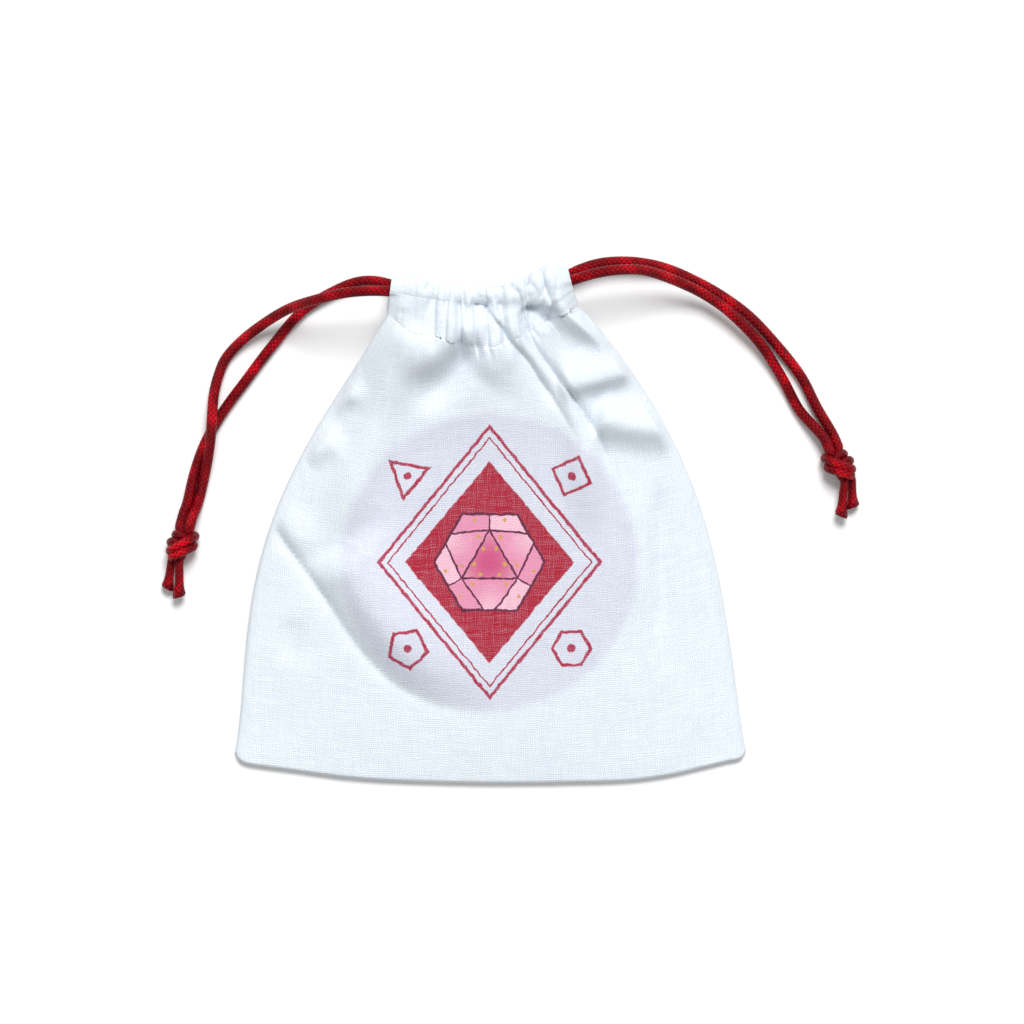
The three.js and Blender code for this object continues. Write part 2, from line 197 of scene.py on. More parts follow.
class Nodes:
    """A node tree that is built by calls. Inputs take numbers, colours or fields."""

    def __init__(self, tree):
        self.tree = tree
        tree.nodes.clear()

    def feed(self, socket, value):
        if isinstance(value, Field):
            self.tree.links.new(value.socket, socket)
        else:
            socket.default_value = value

    def node(self, kind, inputs=(), **settings):
        node = self.tree.nodes.new(kind)
        for key, value in settings.items():
            setattr(node, key, value)
        for key, value in dict(inputs).items():
            self.feed(node.inputs[key], value)
        return node

    def field(self, kind, inputs=(), output=0, **settings):
        """One output of a new node."""
        return Field(self, self.node(kind, inputs, **settings).outputs[output])

    def math(self, operation, *values):
        return self.field("ShaderNodeMath", dict(enumerate(values)), operation=operation)


class Shader(Nodes):
    """A material with one Principled shader."""

    def __init__(self, name):
        self.material = bpy.data.materials.new(name)
        self.material.use_nodes = True
        super().__init__(self.material.node_tree)
        self.surface = self.node("ShaderNodeBsdfPrincipled")
        self.node("ShaderNodeOutputMaterial", {"Surface": Field(self, self.surface.outputs[0])})

    def uv(self):
        return self.field("ShaderNodeUVMap", uv_map="UVMap")

    def place(self):
        return self.field("ShaderNodeTexCoord", output="Object")

    def mix(self, share, a, b, blend="MIX"):
        inputs = {0: share, 6: a, 7: b}
        return self.field("ShaderNodeMix", inputs, 2, data_type="RGBA", blend_type=blend)

    def noise(self, vector, scale, detail=2.0, distortion=0.0):
        inputs = {"Vector": vector, "Scale": scale, "Detail": detail, "Distortion": distortion}
        return self.field("ShaderNodeTexNoise", inputs, "Fac")

    def parts(self, vector):
        return [Field(self, part) for part in self.node("ShaderNodeSeparateXYZ", {0: vector}).outputs]

    def join(self, x, y):
        return self.field("ShaderNodeCombineXYZ", {0: x, 1: y})

    def bump(self, height, strength, distance):
        inputs = {"Height": height, "Strength": strength, "Distance": distance}
        return self.field("ShaderNodeBump", inputs)

    def set(self, **values):
        for key, value in values.items():
            self.feed(self.surface.inputs[key.replace("_", " ")], value)


def tone(red, green, blue):
    """A screen colour from 0 to 255 as the linear one that a shader takes."""
    parts = [c / 255 for c in (red, green, blue)]
    return (*[c / 12.92 if c < 0.04045 else ((c + 0.055) / 1.055) ** 2.4 for c in parts], 1.0)


# Canvas
THREAD = 0.5
# Lit and shaded tones of the same cloth, for the painted shade of the weave
CANVAS_LIGHT = tone(242, 250, 252)
CANVAS_SHADE = tone(214, 223, 241)
WEAVE_RELIEF = 0.11


def weave(shader):
    """Height of the plain weave and of its uneven threads, from a UV map in millimetres."""
    uv = shader.uv()
    across, along, _ = shader.parts(uv)
    across = across + shader.noise(uv, 0.35, 3.0) * 1.6
    along = along + shader.noise(uv, 0.3, 3.0, 0.4) * 1.9
    warp = (across * (math.pi / THREAD)).sin()
    weft = (along * (math.pi / THREAD)).sin()
    checker = (warp * weft).ramp(-0.35, 0.35)
    over = abs(warp) * abs(weft).ramp(-0.6, 1.0)
    under = abs(weft) * abs(warp).ramp(-0.6, 1.0)
    crossing = over * checker + under * (1.0 - checker)
    thick_warp = shader.noise(shader.join(across * 1.9, along * 0.12), 1.0)
    thick_weft = shader.noise(shader.join(across * 0.10, along * 2.0), 1.0)
    return uv, crossing, thick_warp * 0.8 + thick_weft * 1.2 - 1.0


# Painted shade: the cloth is darker in the gaps between the threads and lighter on their crossings, and
# uneven threads and soft clouds change its tone at random
def canvas_colour(shader, crossing, uneven, uv):
    cloud = shader.noise(uv, 0.05, 3.0)
    shade = crossing.ramp(0.10, 0.75) * 0.9 + uneven + (cloud - 0.5) * 0.25
    return shader.mix(shade.ramp(-0.25, 0.95), CANVAS_SHADE, CANVAS_LIGHT)


def finish_canvas(shader, colour, crossing, uneven, uv):
    height = crossing + (uneven * 0.6 + shader.noise(uv, 9.0, 3.0) * 0.25)
    shader.set(
        Base_Color=colour,
        Roughness=crossing.ramp(0.0, 1.0, 0.97, 0.86),
        Specular_IOR_Level=0.22,
        Sheen_Weight=0.12,
        Sheen_Roughness=0.6,
        Normal=shader.bump(height, 0.75, WEAVE_RELIEF * MM),
    )


def make_canvas():
    shader = Shader("cotton canvas")
    uv, crossing, uneven = weave(shader)
    finish_canvas(shader, canvas_colour(shader, crossing, uneven, uv), crossing, uneven, uv)
    return shader.material


# The print: a twenty-sided die in pinks on a dark red lozenge, in a lozenge frame with four outlined
# shapes beside its sides
PRINT_CENTRE = (-0.2, -9.7)
PRINT_WOBBLE = 0.9
FILM_RADIUS = 36.6
LOZENGE = (20.5, 24.5)
FRAME = (27.0, 33.0)
FRAME_GAP = 1.7
DIE_RADIUS = 13.6
DIE_INNER = DIE_RADIUS * 0.58
STROKE = 0.55
FILM_TINT = (0.885, 0.845, 0.90, 1.0)
PATCH_RED = tone(176, 28, 52)
EDGE_PLUM = tone(96, 38, 68)
STROKE_RED = tone(176, 44, 74)
GOLD = tone(214, 170, 92)
PINKS = [tone(250, 200, 218), tone(238, 158, 188), tone(214, 92, 138)]
# Gold dots on the die, along a spoke and beside it
GOLD_DOTS = [(3.4, 1.5), (6.2, 2.6), (10.3, 3.6)]
# Outlined shapes: corners, size and turn in degrees, one in each quarter from the upper right round
SIDE_SHAPES = [(4, 4.9, 20), (3, 5.4, 100), (5, 4.9, 10), (6, 4.7, 0)]
SIDE_PLACE = (20.0, 21.0)


def distance(x, y):
    return (x * x + y * y).do("SQRT")


def print_coordinates(shader):
    """The place from the middle of the print, as x and y and as radius and angle, in millimetres."""
    place = shader.field("ShaderNodeVectorMath", {0: shader.place(), 3: 1 / MM}, operation="SCALE")
    x, y, _ = shader.parts(place)
    x = x + (shader.noise(place, 0.55) - 0.5) * PRINT_WOBBLE - PRINT_CENTRE[0]
    y = y + (shader.noise(place, 0.62) - 0.5) * PRINT_WOBBLE - PRINT_CENTRE[1]
    return x, y, distance(x, y), y.do("ARCTAN2", x)


def fold_angle(angle, count, turn):
    """The angle from the nearest of count even spokes, with its sign."""
    step = 2 * math.pi / count
    return (angle + (4 * math.pi + step / 2 - turn)).do("MODULO", step) - step / 2


def polygon_reach(radius, angle, corners):
    """How far a point is from the middle, measured square to the nearest side."""
    return radius * abs(fold_angle(angle, corners, math.pi / corners)).cos()


def lozenge_reach(x, y, half):
    """How far a point is outside a lozenge of the given half width and half height."""
    width, height = half
    share = abs(x) * (1 / width) + abs(y) * (1 / height)
    return (share - 1.0) * (width * height / math.hypot(width, height))


def line_mask(away, width):
    return abs(away).ramp(width, width * 0.45)


def die_layer(shader, colour, radius, angle):
    spoke = fold_angle(angle, 3, math.pi / 2)
    near = abs(spoke)
    p, q = radius * near.cos(), radius * near.sin()
    centre_line = radius * (near - math.pi / 3).cos() - DIE_INNER / 2
    lean = (0.5 - DIE_INNER / DIE_RADIUS, math.sqrt(3) / 2)
    size = math.hypot(*lean)
    corner_line = (p - DIE_INNER) * (lean[1] / size) - q * (lean[0] / size)
    outside = polygon_reach(radius, angle, 6) - DIE_RADIUS * math.sqrt(3) / 2
    centre_tone = shader.mix(radius.ramp(1.0, DIE_RADIUS * 0.95), PINKS[2], PINKS[0])
    side_tone = shader.mix(q.ramp(3.0, 11.0), PINKS[1], PINKS[0])
    corner_tone = shader.mix(spoke.ramp(-0.02, 0.02), PINKS[0], PINKS[1])
    beyond_centre = centre_line.ramp(-0.1, 0.1)
    facet = shader.mix(corner_line.ramp(-0.1, 0.1), side_tone, corner_tone)
    facet = shader.mix(beyond_centre, centre_tone, facet)
    edges = line_mask(centre_line, STROKE * 0.6)
    edges = edges.max(line_mask(corner_line, STROKE * 0.6) * beyond_centre)
    edges = edges.max(line_mask(q, STROKE * 0.5) * p.ramp(DIE_INNER - 0.2, DIE_INNER))
    facet = shader.mix(edges.max(line_mask(outside, STROKE)), facet, EDGE_PLUM)
    for along, beside in GOLD_DOTS:
        facet = shader.mix(distance(p - along, q - beside).ramp(0.55, 0.35), facet, GOLD)
    return shader.mix(outside.ramp(0.35, 0.1), colour, facet)


def frame_layer(x, y):
    """Ink of the frame's two lines, and of the outlined shape in each quarter beside it."""
    outer = lozenge_reach(x, y, FRAME)
    ink = line_mask(outer, STROKE).max(line_mask(outer + FRAME_GAP, STROKE * 0.5))
    for k, (corners, size, turn) in enumerate(SIDE_SHAPES):
        right, up = (1, -1, -1, 1)[k], (1, 1, -1, -1)[k]
        out, beside = x - right * SIDE_PLACE[0], y - up * SIDE_PLACE[1]
        far = distance(out, beside)
        way = beside.do("ARCTAN2", out) + turn * DEGREE
        outline = polygon_reach(far, way, corners) - size * math.cos(math.pi / corners)
        ink = ink.max(line_mask(outline, STROKE)).max(far.ramp(1.15, 0.85))
    return ink


def make_printed_canvas():
    shader = Shader("printed cotton canvas")
    uv, crossing, uneven = weave(shader)
    colour = canvas_colour(shader, crossing, uneven, uv)
    x, y, radius, angle = print_coordinates(shader)
    film = radius.ramp(FILM_RADIUS + 1.0, FILM_RADIUS - 2.0) * 0.92
    colour = shader.mix(film, colour, shader.mix(1.0, colour, FILM_TINT, "MULTIPLY"))
    worn = (crossing + uneven * 1.2).ramp(0.02, 0.42)
    ink_cover = worn * 0.26 + 0.74
    patch = lozenge_reach(x, y, LOZENGE).ramp(0.25, -0.1)
    colour = shader.mix(patch * ink_cover, colour, PATCH_RED)
    colour = shader.mix(frame_layer(x, y) * ink_cover, colour, STROKE_RED)
    colour = shader.mix(ink_cover, colour, die_layer(shader, colour, radius, angle))
    finish_canvas(shader, colour, crossing, uneven, uv)
    return shader.material


# Satin cord and sewing thread
BRAID_PAIRS = 6
FIBRES = 11.0
# Painted shade, mid tone and painted highlight of the satin; the shade colour also darkens the melted ends
SATIN_SHADE_AND_MELT = tone(66, 0, 5)
SATIN_MID = tone(150, 0, 13)
SATIN_HIGHLIGHT = tone(222, 10, 32)


def make_satin(name, sealed=False):
    shader = Shader(name)
    along, around, _ = shader.parts(shader.uv())
    a, b = (around + along) * math.pi, (around - along) * math.pi
    chosen = (a.cos() * b.cos()).ramp(-0.1, 0.1)
    other = 1.0 - chosen
    fibre = (a * FIBRES).sin() * chosen + (b * FIBRES).sin() * other
    crown = abs(b.sin()) * chosen + abs(a.sin()) * other
    streak = shader.noise(shader.join(a * 1.7, b * 1.7), 1.0, 3.0)
    turned = shader.noise(shader.join(along * 0.22, around * 0.3), 1.0)
    # Painted light on the braid: lift sets the colour, with a painted highlight on the crowns of the strands
    # and painted shade in the gaps between them; turned, a slow noise along the cord, paints brighter and
    # darker stretches of sheen, and streak adds random streaks
    lift = crown * 0.7 + streak * 0.5 + (turned - 0.53) * 1.7
    colour = shader.mix(lift.ramp(0.30, 0.95), SATIN_SHADE_AND_MELT, SATIN_MID)
    colour = shader.mix(lift.ramp(0.80, 1.15), colour, SATIN_HIGHLIGHT)
    # A melted end is darker all over, in its own colour
    if sealed:
        colour = shader.mix(0.55, colour, SATIN_SHADE_AND_MELT)
    shader.set(
        Base_Color=colour,
        Roughness=0.24 if sealed else 0.33,
        Specular_IOR_Level=0.42,
        Specular_Tint=tone(255, 110, 120),
        Normal=shader.bump(crown + fibre * 0.16, 0.35 if sealed else 0.8, 0.10 * MM),
    )
    return shader.material


def make_thread():
    shader = Shader("sewing thread")
    inputs = {"Vector": shader.place(), "Scale": 900.0, "Distortion": 2.0}
    twist = shader.field("ShaderNodeTexWave", inputs, "Fac")
    # Painted shade: the grooves of the twist are darker than its ridges
    shader.set(
        Base_Color=shader.mix(twist, tone(205, 208, 219), tone(240, 241, 246)),
        Roughness=0.55,
        Sheen_Weight=0.3,
        Normal=shader.bump(twist, 0.5, 0.03 * MM),
    )
    return shader.material


canvas = make_canvas()
printed_canvas = make_printed_canvas()
satin_cord = make_satin("red satin cord")
sealed_cord = make_satin("sealed end of satin cord", sealed=True)
sewing_thread = make_thread()


# Drawcords: a braid of twelve flat strands of satin yarn
CORD = 2.8
CORD_RADIUS = CORD / 2
BRAID_STEP = 1.25
BRAID_RELIEF = 0.22
CORD_SIDES = 48
HIDDEN_SIDES = 24
CORD_RING = 0.2


def braid_height(around, along):
    """Height of the braid from -1 to 1. around counts strand pairs, along counts braid steps."""
    a = math.pi * (around + along)
    b = math.pi * (around - along)
    over = np.cos(a) * np.cos(b)
    rising = np.abs(np.sin(a)) ** 0.7 + 0.45 * over
    falling = np.abs(np.sin(b)) ** 0.7 - 0.45 * over
    return np.maximum(rising, falling) * 1.3 - 0.9


def ring_faces(low, high, sides=CORD_SIDES):
    """Faces between two rings of vertices, which start at low and at high."""
    turn = [(j, (j + 1) % sides) for j in range(sides)]
    return [(low + k, low + j, high + j, high + k) for j, k in turn]


def cap_faces(tip, low, sides=CORD_SIDES, last=True):
    """A fan from the tip to the ring that starts at low."""
    turn = [(j, (j + 1) % sides) for j in range(sides)]
    return [(tip, low + k, low + j) if last else (tip, low + j, low + k) for j, k in turn]


def braided_tube(path, radius, ends=(True, True), sides=CORD_SIDES):
    """vertices, faces and uv of a cord along the path. radius is one number for each point."""
    side, up = frames_along(path)
    run = lengths_along(path)
    angle = np.linspace(0, 2 * math.pi, sides, endpoint=False)
    around = angle * BRAID_PAIRS / (2 * math.pi)
    relief = braid_height(around[None, :], run[:, None] / BRAID_STEP) - 1
    reach = radius[:, None] * (1 + relief * BRAID_RELIEF / CORD_RADIUS)
    vertices = (
        path[:, None, :]
        + side[:, None, :] * (reach * np.cos(angle))[:, :, None]
        + up[:, None, :] * (reach * np.sin(angle))[:, :, None]
    ).reshape(-1, 3)
    count = len(path)
    faces = []
    for i in range(count - 1):
        faces += ring_faces(i * sides, (i + 1) * sides, sides)
    along = np.repeat(run[:, None], sides, axis=1).ravel() / BRAID_STEP
    uv = np.stack([along, np.repeat(around[None, :], count, axis=0).ravel()], axis=1)
    for last, wanted in enumerate(ends):
        if wanted:
            ring = last * (count - 1)
            faces += cap_faces(len(vertices), ring * sides, sides, last)
            vertices = np.vstack([vertices, path[ring][None, :]])
            uv = np.vstack([uv, [[run[ring] / BRAID_STEP, 0]]])
    return vertices, faces, uv


def cord_piece(name, path, sides=CORD_SIDES):
    vertices, faces, uv = braided_tube(path, np.full(len(path), CORD_RADIUS), sides=sides)
    return mesh_object(name, vertices, faces, uv, [satin_cord])


# The hem and the cords in it, at the same sizes as the frame's
MOUTH_WIDTH = 42.5
MOUTH_CENTRE = -2.65
MOUTH_LEFT = MOUTH_CENTRE - MOUTH_WIDTH / 2
MOUTH_RIGHT = MOUTH_CENTRE + MOUTH_WIDTH / 2
LEFT_FLARE = 1.1
RIGHT_FLARE = 2.7
HEM_TOP = [59.6, 59.7, 58.4, 58.1, 57.6, 58.3, 59.8, 61.7, 62.1]
STITCH_HEIGHTS = [50.8, 46.6, 46.2, 43.8, 43.0, 44.3, 46.8, 49.9, 52.8]
CLOTH = 0.5
CLEARANCE = 0.3
MOUTH_GAP = 5
HEM_HEIGHT = 2 * CORD + 3 * CLEARANCE + 2 * CLOTH
FRONT_LOW = HEM_HEIGHT + MOUTH_GAP
FRONT_HIGH = FRONT_LOW + HEM_HEIGHT
NEAR_WALL = CLOTH + CLEARANCE + CORD_RADIUS
CROSSING_Y = min(HEM_TOP) - CLOTH - CLEARANCE - CORD_RADIUS - 0.2
TURN_INSET = 2.6
TURN_RADIUS = 4.8
FLOOR = CORD_RADIUS + 0.05
KNOT_REACH = 4.3
PAIR_GAP = 1.2
STRAND_RISE = 0.8
STRAND_DIP = -0.6
KNOT_HALF_HEIGHT = 3.6
TAIL_GAP = 1.0
TAIL_RISE = 0.6
TAIL_ROOT = 1.1
TAIL_LENGTHS = {1: 8.2, -1: 6.8}
TAIL_FLARE = 1.7
TAIL_SPREAD = 4
# Radius of a tail at shares of its length, up to the bead of its melted end
TAIL_STATIONS = [0, 0.3, 0.6, 0.74, 0.86, 0.93, 0.975, 1]
TAIL_WIDTHS = [TAIL_ROOT, 1.12, 1.16, 1.3, 1.6, 1.68, 1.64, 1.45]

# One entry for each drawcord. The routes are the strands' points from inside the hem to the knot, and
# the second point is where the strand leaves the hem.
DRAWCORDS = {
    "left": dict(
        side=-1, turn=1.5, levels=(FRONT_HIGH - NEAR_WALL, NEAR_WALL),
        knot=(-75.9, -5.3), heading=-105, tail_heading=-95, front_side=1, roll=75, mirror=1,
        front=[
            (-19.5, 55.6, 17.8), (-25, 56.2, 17.8), (-29.5, 56.3, 17.6), (-35.5, 55.8, 16.8),
            (-42.2, 54.3, 14.4), (-49.1, 52.2, 8.6), (-55.3, 48.7, 4.4), (-61.2, 44.2, 2.0),
            (-64.9, 40, FLOOR), (-66.6, 35.9, 1.7), (-67.7, 31.2, 2.8), (-68.1, 25.6, 4.5),
            (-68.5, 20, 4.2), (-69.8, 12.4, 2.2), (-71.7, 4.5, 1.7),
        ],
        back=[
            (-19.5, 56.6, 2.3), (-24.2, 58.2, 2.2), (-28.3, 59.1, 2.1), (-32.4, 58.9, 2.0),
            (-37.1, 57.2, 1.8), (-46, 51.8, FLOOR), (-53.8, 42.8, FLOOR), (-60, 34.6, FLOOR),
            (-63.9, 29.4, FLOOR), (-66.9, 24.9, FLOOR), (-70.2, 18.7, FLOOR), (-72.4, 12.4, FLOOR),
            (-74.3, 4.5, 1.7),
        ],
    ),
    "right": dict(
        side=1, turn=5.5, levels=(FRONT_LOW + NEAR_WALL, HEM_HEIGHT - NEAR_WALL),
        knot=(85.7, 14.3), heading=-66, tail_heading=-91, front_side=-1, roll=-75, mirror=-1,
        front=[
            (15, 57.4, 14.7), (19.8, 58.9, 14.7), (23.9, 60.2, 14.7), (28.5, 61.2, 14.6),
            (33, 61.6, 14.0), (37.4, 61.4, 12.6), (42, 60.2, 9.8), (47, 58.3, 7), (52, 55.9, 5),
            (57, 52.6, 4.4), (62, 48.1, 3.9), (66.4, 43.2, 3), (71.5, 35.2, 1.7), (75.6, 27.6, FLOOR),
        ],
        back=[
            (15, 58.3, 5.3), (19, 60.5, 5.3), (22.2, 62.0, 5.2), (26.4, 63.3, 4.8), (31.1, 63.8, 4.5),
            (37, 63.5, 4.0), (43.5, 62, 2.4), (52, 58.2, FLOOR), (58, 54.6, FLOOR),
            (63.5, 50.4, FLOOR), (69.9, 43.6, FLOOR), (76, 35.8, FLOOR), (80, 28, 1.6),
        ],
    ),
}


def hem_run(cord):
    """The cord's way through both hems, from inside the front exit round its turn and back."""
    side = cord["side"]
    slope = math.tan(cord["turn"] * DEGREE) * side
    turn_x = MOUTH_RIGHT - TURN_INSET if side < 0 else MOUTH_LEFT + TURN_INSET
    beyond = MOUTH_CENTRE + 0.4 * (turn_x - MOUTH_CENTRE)

    def inner(x):
        return CROSSING_Y + (x - MOUTH_CENTRE) * slope

    def strand(start, z):
        half = ((start[0] + MOUTH_CENTRE) / 2, 0.3 * start[1] + 0.7 * CROSSING_Y, z)
        return [start, half, (MOUTH_CENTRE, CROSSING_Y, z), (beyond, inner(beyond), z)]

    def bend(level, centre, angles):
        away = TURN_RADIUS if level > centre else -TURN_RADIUS
        reach = side * TURN_RADIUS
        return [
            (turn_x + reach * (1 - math.cos(a * DEGREE)), inner(turn_x), centre + away * math.sin(a * DEGREE))
            for a in angles
        ]

    front, back = cord["levels"]
    quarter = [90, 67.5, 45, 22.5, 0]
    upright = front - back > 2 * TURN_RADIUS + 1
    middle = [(turn_x, inner(turn_x), (front + back) / 2)] if upright else []
    low = bend(back, back + TURN_RADIUS, quarter[::-1])
    points = strand(cord["front"][0], front) + bend(front, front - TURN_RADIUS, quarter)
    return points + middle + (low if upright else low[1:]) + strand(cord["back"][0], back)[::-1]


def knot_frame(cord):
    """Turns (along, across, up) from the middle of the knot into a point."""
    heading = cord["heading"] * DEGREE
    along = np.array([math.cos(heading), math.sin(heading), 0])
    across = np.array([-along[1], along[0], 0])
    centre = np.array([*cord["knot"], KNOT_HALF_HEIGHT])
    return lambda a, b, c: centre + a * along + b * across + c * np.array([0, 0, 1.0])


def strand_sides(cord, which):
    """1 for the upper strand or -1 for the lower one, and the same for its side of the knot."""
    over = 1 if which == "front" else -1
    return over, cord["front_side"] * over


def strand_points(cord, which):
    over, knot_side = strand_sides(cord, which)
    at = knot_frame(cord)
    start = -KNOT_REACH - CLEARANCE
    rise = over * STRAND_RISE
    return cord[which] + [
        tuple(at(start - CORD, knot_side * PAIR_GAP, 1.5 * STRAND_DIP + rise)),
        tuple(at(start + 0.3, knot_side * PAIR_GAP, STRAND_DIP + rise)),
    ]


# Overhand knot tied in both strands: two ropes drawn tight that can't pass through each other.
# Coordinates are along the cord, across it and up.
KNOT_ROPE = 2.1
KNOT_STEP = 1.5
KNOT_LEAD = 14.4
KNOT_ROUNDS = 2600
KNOT_SHRINK = 0.00075
KNOT_BEND = 0.05
KNOT_PUSH = 0.45
KNOT_PRESS = (0.92, 0.80, 0.80)
KNOT_SLANT = 0.55
ROPE_IN_KNOT = 1.25


def knot_start():
    """A wide, loose overhand knot as a curve, with straight leads."""
    t = np.linspace(-2.05, 2.05, 400)
    loop = np.stack([0.8 * (10 * t - t**5), 5.2 * (t**3 - 3 * t), 3.4 * (t**4 - 4 * t**2 + 2)], axis=1)
    loop = loop if loop[0, 0] < loop[-1, 0] else loop * [-1, 1, 1]
    share = np.linspace(0, 1, 30)[:, None]
    lead_in = np.array([-KNOT_LEAD, 0, 0]) * (1 - share) + loop[0] * share
    lead_out = loop[-1] * (1 - share) + np.array([KNOT_LEAD, 0, 0]) * share
    path = np.vstack([lead_in[:-1], loop, lead_out[1:]])
    for _ in range(60):
        path[1:-1] = 0.5 * path[1:-1] + 0.25 * (path[:-2] + path[2:])
    return even_steps(path, KNOT_STEP)


def two_strands(path):
    """The curve doubled, without twist between its two ends."""
    tangent = unit(np.gradient(path, axis=0))
    across = np.array([0, 1.0, 0])
    side = carry(across, tangent)
    twist = math.atan2(np.dot(np.cross(tangent[-1], side[-1]), across), np.dot(side[-1], across))
    turn = twist * np.linspace(0, 1, len(path))[:, None]
    side = side * np.cos(turn) + np.cross(tangent, side) * np.sin(turn)
    gap = 0.52 * KNOT_ROPE
    return np.vstack([path + side * gap, path - side * gap])


def drawn_knot():
    """Shortens the two strands until the knot is tight, and gives both as curves."""
    nodes = two_strands(knot_start())
    count = len(nodes) // 2
    strand = np.repeat([0, 1], count)
    place = np.tile(np.arange(count), 2)
    skip = math.ceil(KNOT_ROPE * 1.25 / KNOT_STEP)
    same = (strand[:, None] == strand[None, :]) & (np.abs(place[:, None] - place[None, :]) <= skip)
    first, second = np.triu_indices(2 * count, 1)
    apart = ~same[first, second]
    first, second = first[apart], second[apart]
    held = np.zeros(2 * count, bool)
    for s in (0, count):
        held[s:s + 3] = True
        held[s + count - 3:s + count] = True
    anchors = nodes[held].copy()
    links = np.concatenate([np.arange(count - 1), np.arange(count - 1) + count])
    rest = KNOT_STEP
    for step in range(KNOT_ROUNDS):
        pull = np.zeros_like(nodes)
        for s in (0, count):
            rope = nodes[s:s + count]
            pull[s + 1:s + count - 1] = 0.5 * (rope[:-2] + rope[2:]) - rope[1:-1]
        nodes = nodes + KNOT_BEND * pull
        if step < KNOT_ROUNDS * 0.75:
            rest *= 1 - KNOT_SHRINK
        for parity in (0, 1):
            some = links[links % 2 == parity]
            gap = nodes[some + 1] - nodes[some]
            length = np.linalg.norm(gap, axis=1, keepdims=True)
            shift = 0.5 * (length - rest) * gap / length
            nodes[some] += shift
            nodes[some + 1] -= shift
        gap = nodes[second] - nodes[first]
        length = np.linalg.norm(gap, axis=1)
        near = length < KNOT_ROPE
        push = 0.5 * KNOT_PUSH * (KNOT_ROPE - length[near]) / np.maximum(length[near], 1e-6)
        shift = push[:, None] * gap[near]
        np.add.at(nodes, first[near], -shift)
        np.add.at(nodes, second[near], shift)
        nodes[held] = anchors
    return nodes[:count], nodes[count:]


tight_knot = drawn_knot()


def knot_ropes(cord):
    """The two ropes of one knot, turned about the cord and led to where the strands and tails start."""
    at = knot_frame(cord)
    roll = cord["roll"] * DEGREE
    ropes = []
    for rope in tight_knot:
        a, b, c = rope[:, 0] * KNOT_PRESS[0], rope[:, 1] * cord["mirror"], -rope[:, 2]
        b, c = b * math.cos(roll) - c * math.sin(roll), b * math.sin(roll) + c * math.cos(roll)
        b, c = b * KNOT_PRESS[1], c * KNOT_PRESS[2]
        a = a - cord["mirror"] * KNOT_SLANT * b * smooth_step((5.2 - np.abs(a)) / 2)
        points = smooth_curve(np.stack([a, b, c], axis=1), CORD_RING)
        inside = (points[:, 0] > -KNOT_REACH - CLEARANCE - 0.3) & (points[:, 0] < KNOT_REACH - 0.7)
        ropes.append(points[np.argmax(inside):len(inside) - np.argmax(inside[::-1])])
    for end, gap, rise in ((0, PAIR_GAP, STRAND_RISE), (-1, TAIL_GAP, TAIL_RISE)):
        higher = 0 if ropes[0][end, 1] > ropes[1][end, 1] else 1
        for k, points in enumerate(ropes):
            side = 1 if k == higher else -1
            aim = np.array([points[end, 0], side * gap, STRAND_DIP + side * cord["front_side"] * rise])
            run = lengths_along(points)
            run = run if end == 0 else run[-1] - run
            points += smooth_step(1 - run / 4.5)[:, None] * (aim - points[end])
    return at, ropes


def knot_piece(name, cord):
    at, ropes = knot_ropes(cord)
    vertices, faces, uvs = [], [], []
    shift = 0
    for rope in ropes:
        lead = smooth_step((np.abs(rope[:, 0]) - 2.4) / 1.4)
        near_end = (lengths_along(rope) < 6) | (lengths_along(rope[::-1])[::-1] < 6)
        wide = np.where(rope[:, 0] < 0, CORD_RADIUS, TAIL_ROOT)
        radius = ROPE_IN_KNOT + (wide - ROPE_IN_KNOT) * np.where(near_end, lead, 0)
        path = np.array([at(*point) for point in rope])
        path[:, 2] = np.maximum(path[:, 2], radius + 0.02)
        v, f, uv = braided_tube(path, radius)
        vertices.append(v)
        uvs.append(uv)
        faces += [tuple(i + shift for i in face) for face in f]
        shift += len(v)
    return mesh_object(name, np.vstack(vertices), faces, np.vstack(uvs), [satin_cord])


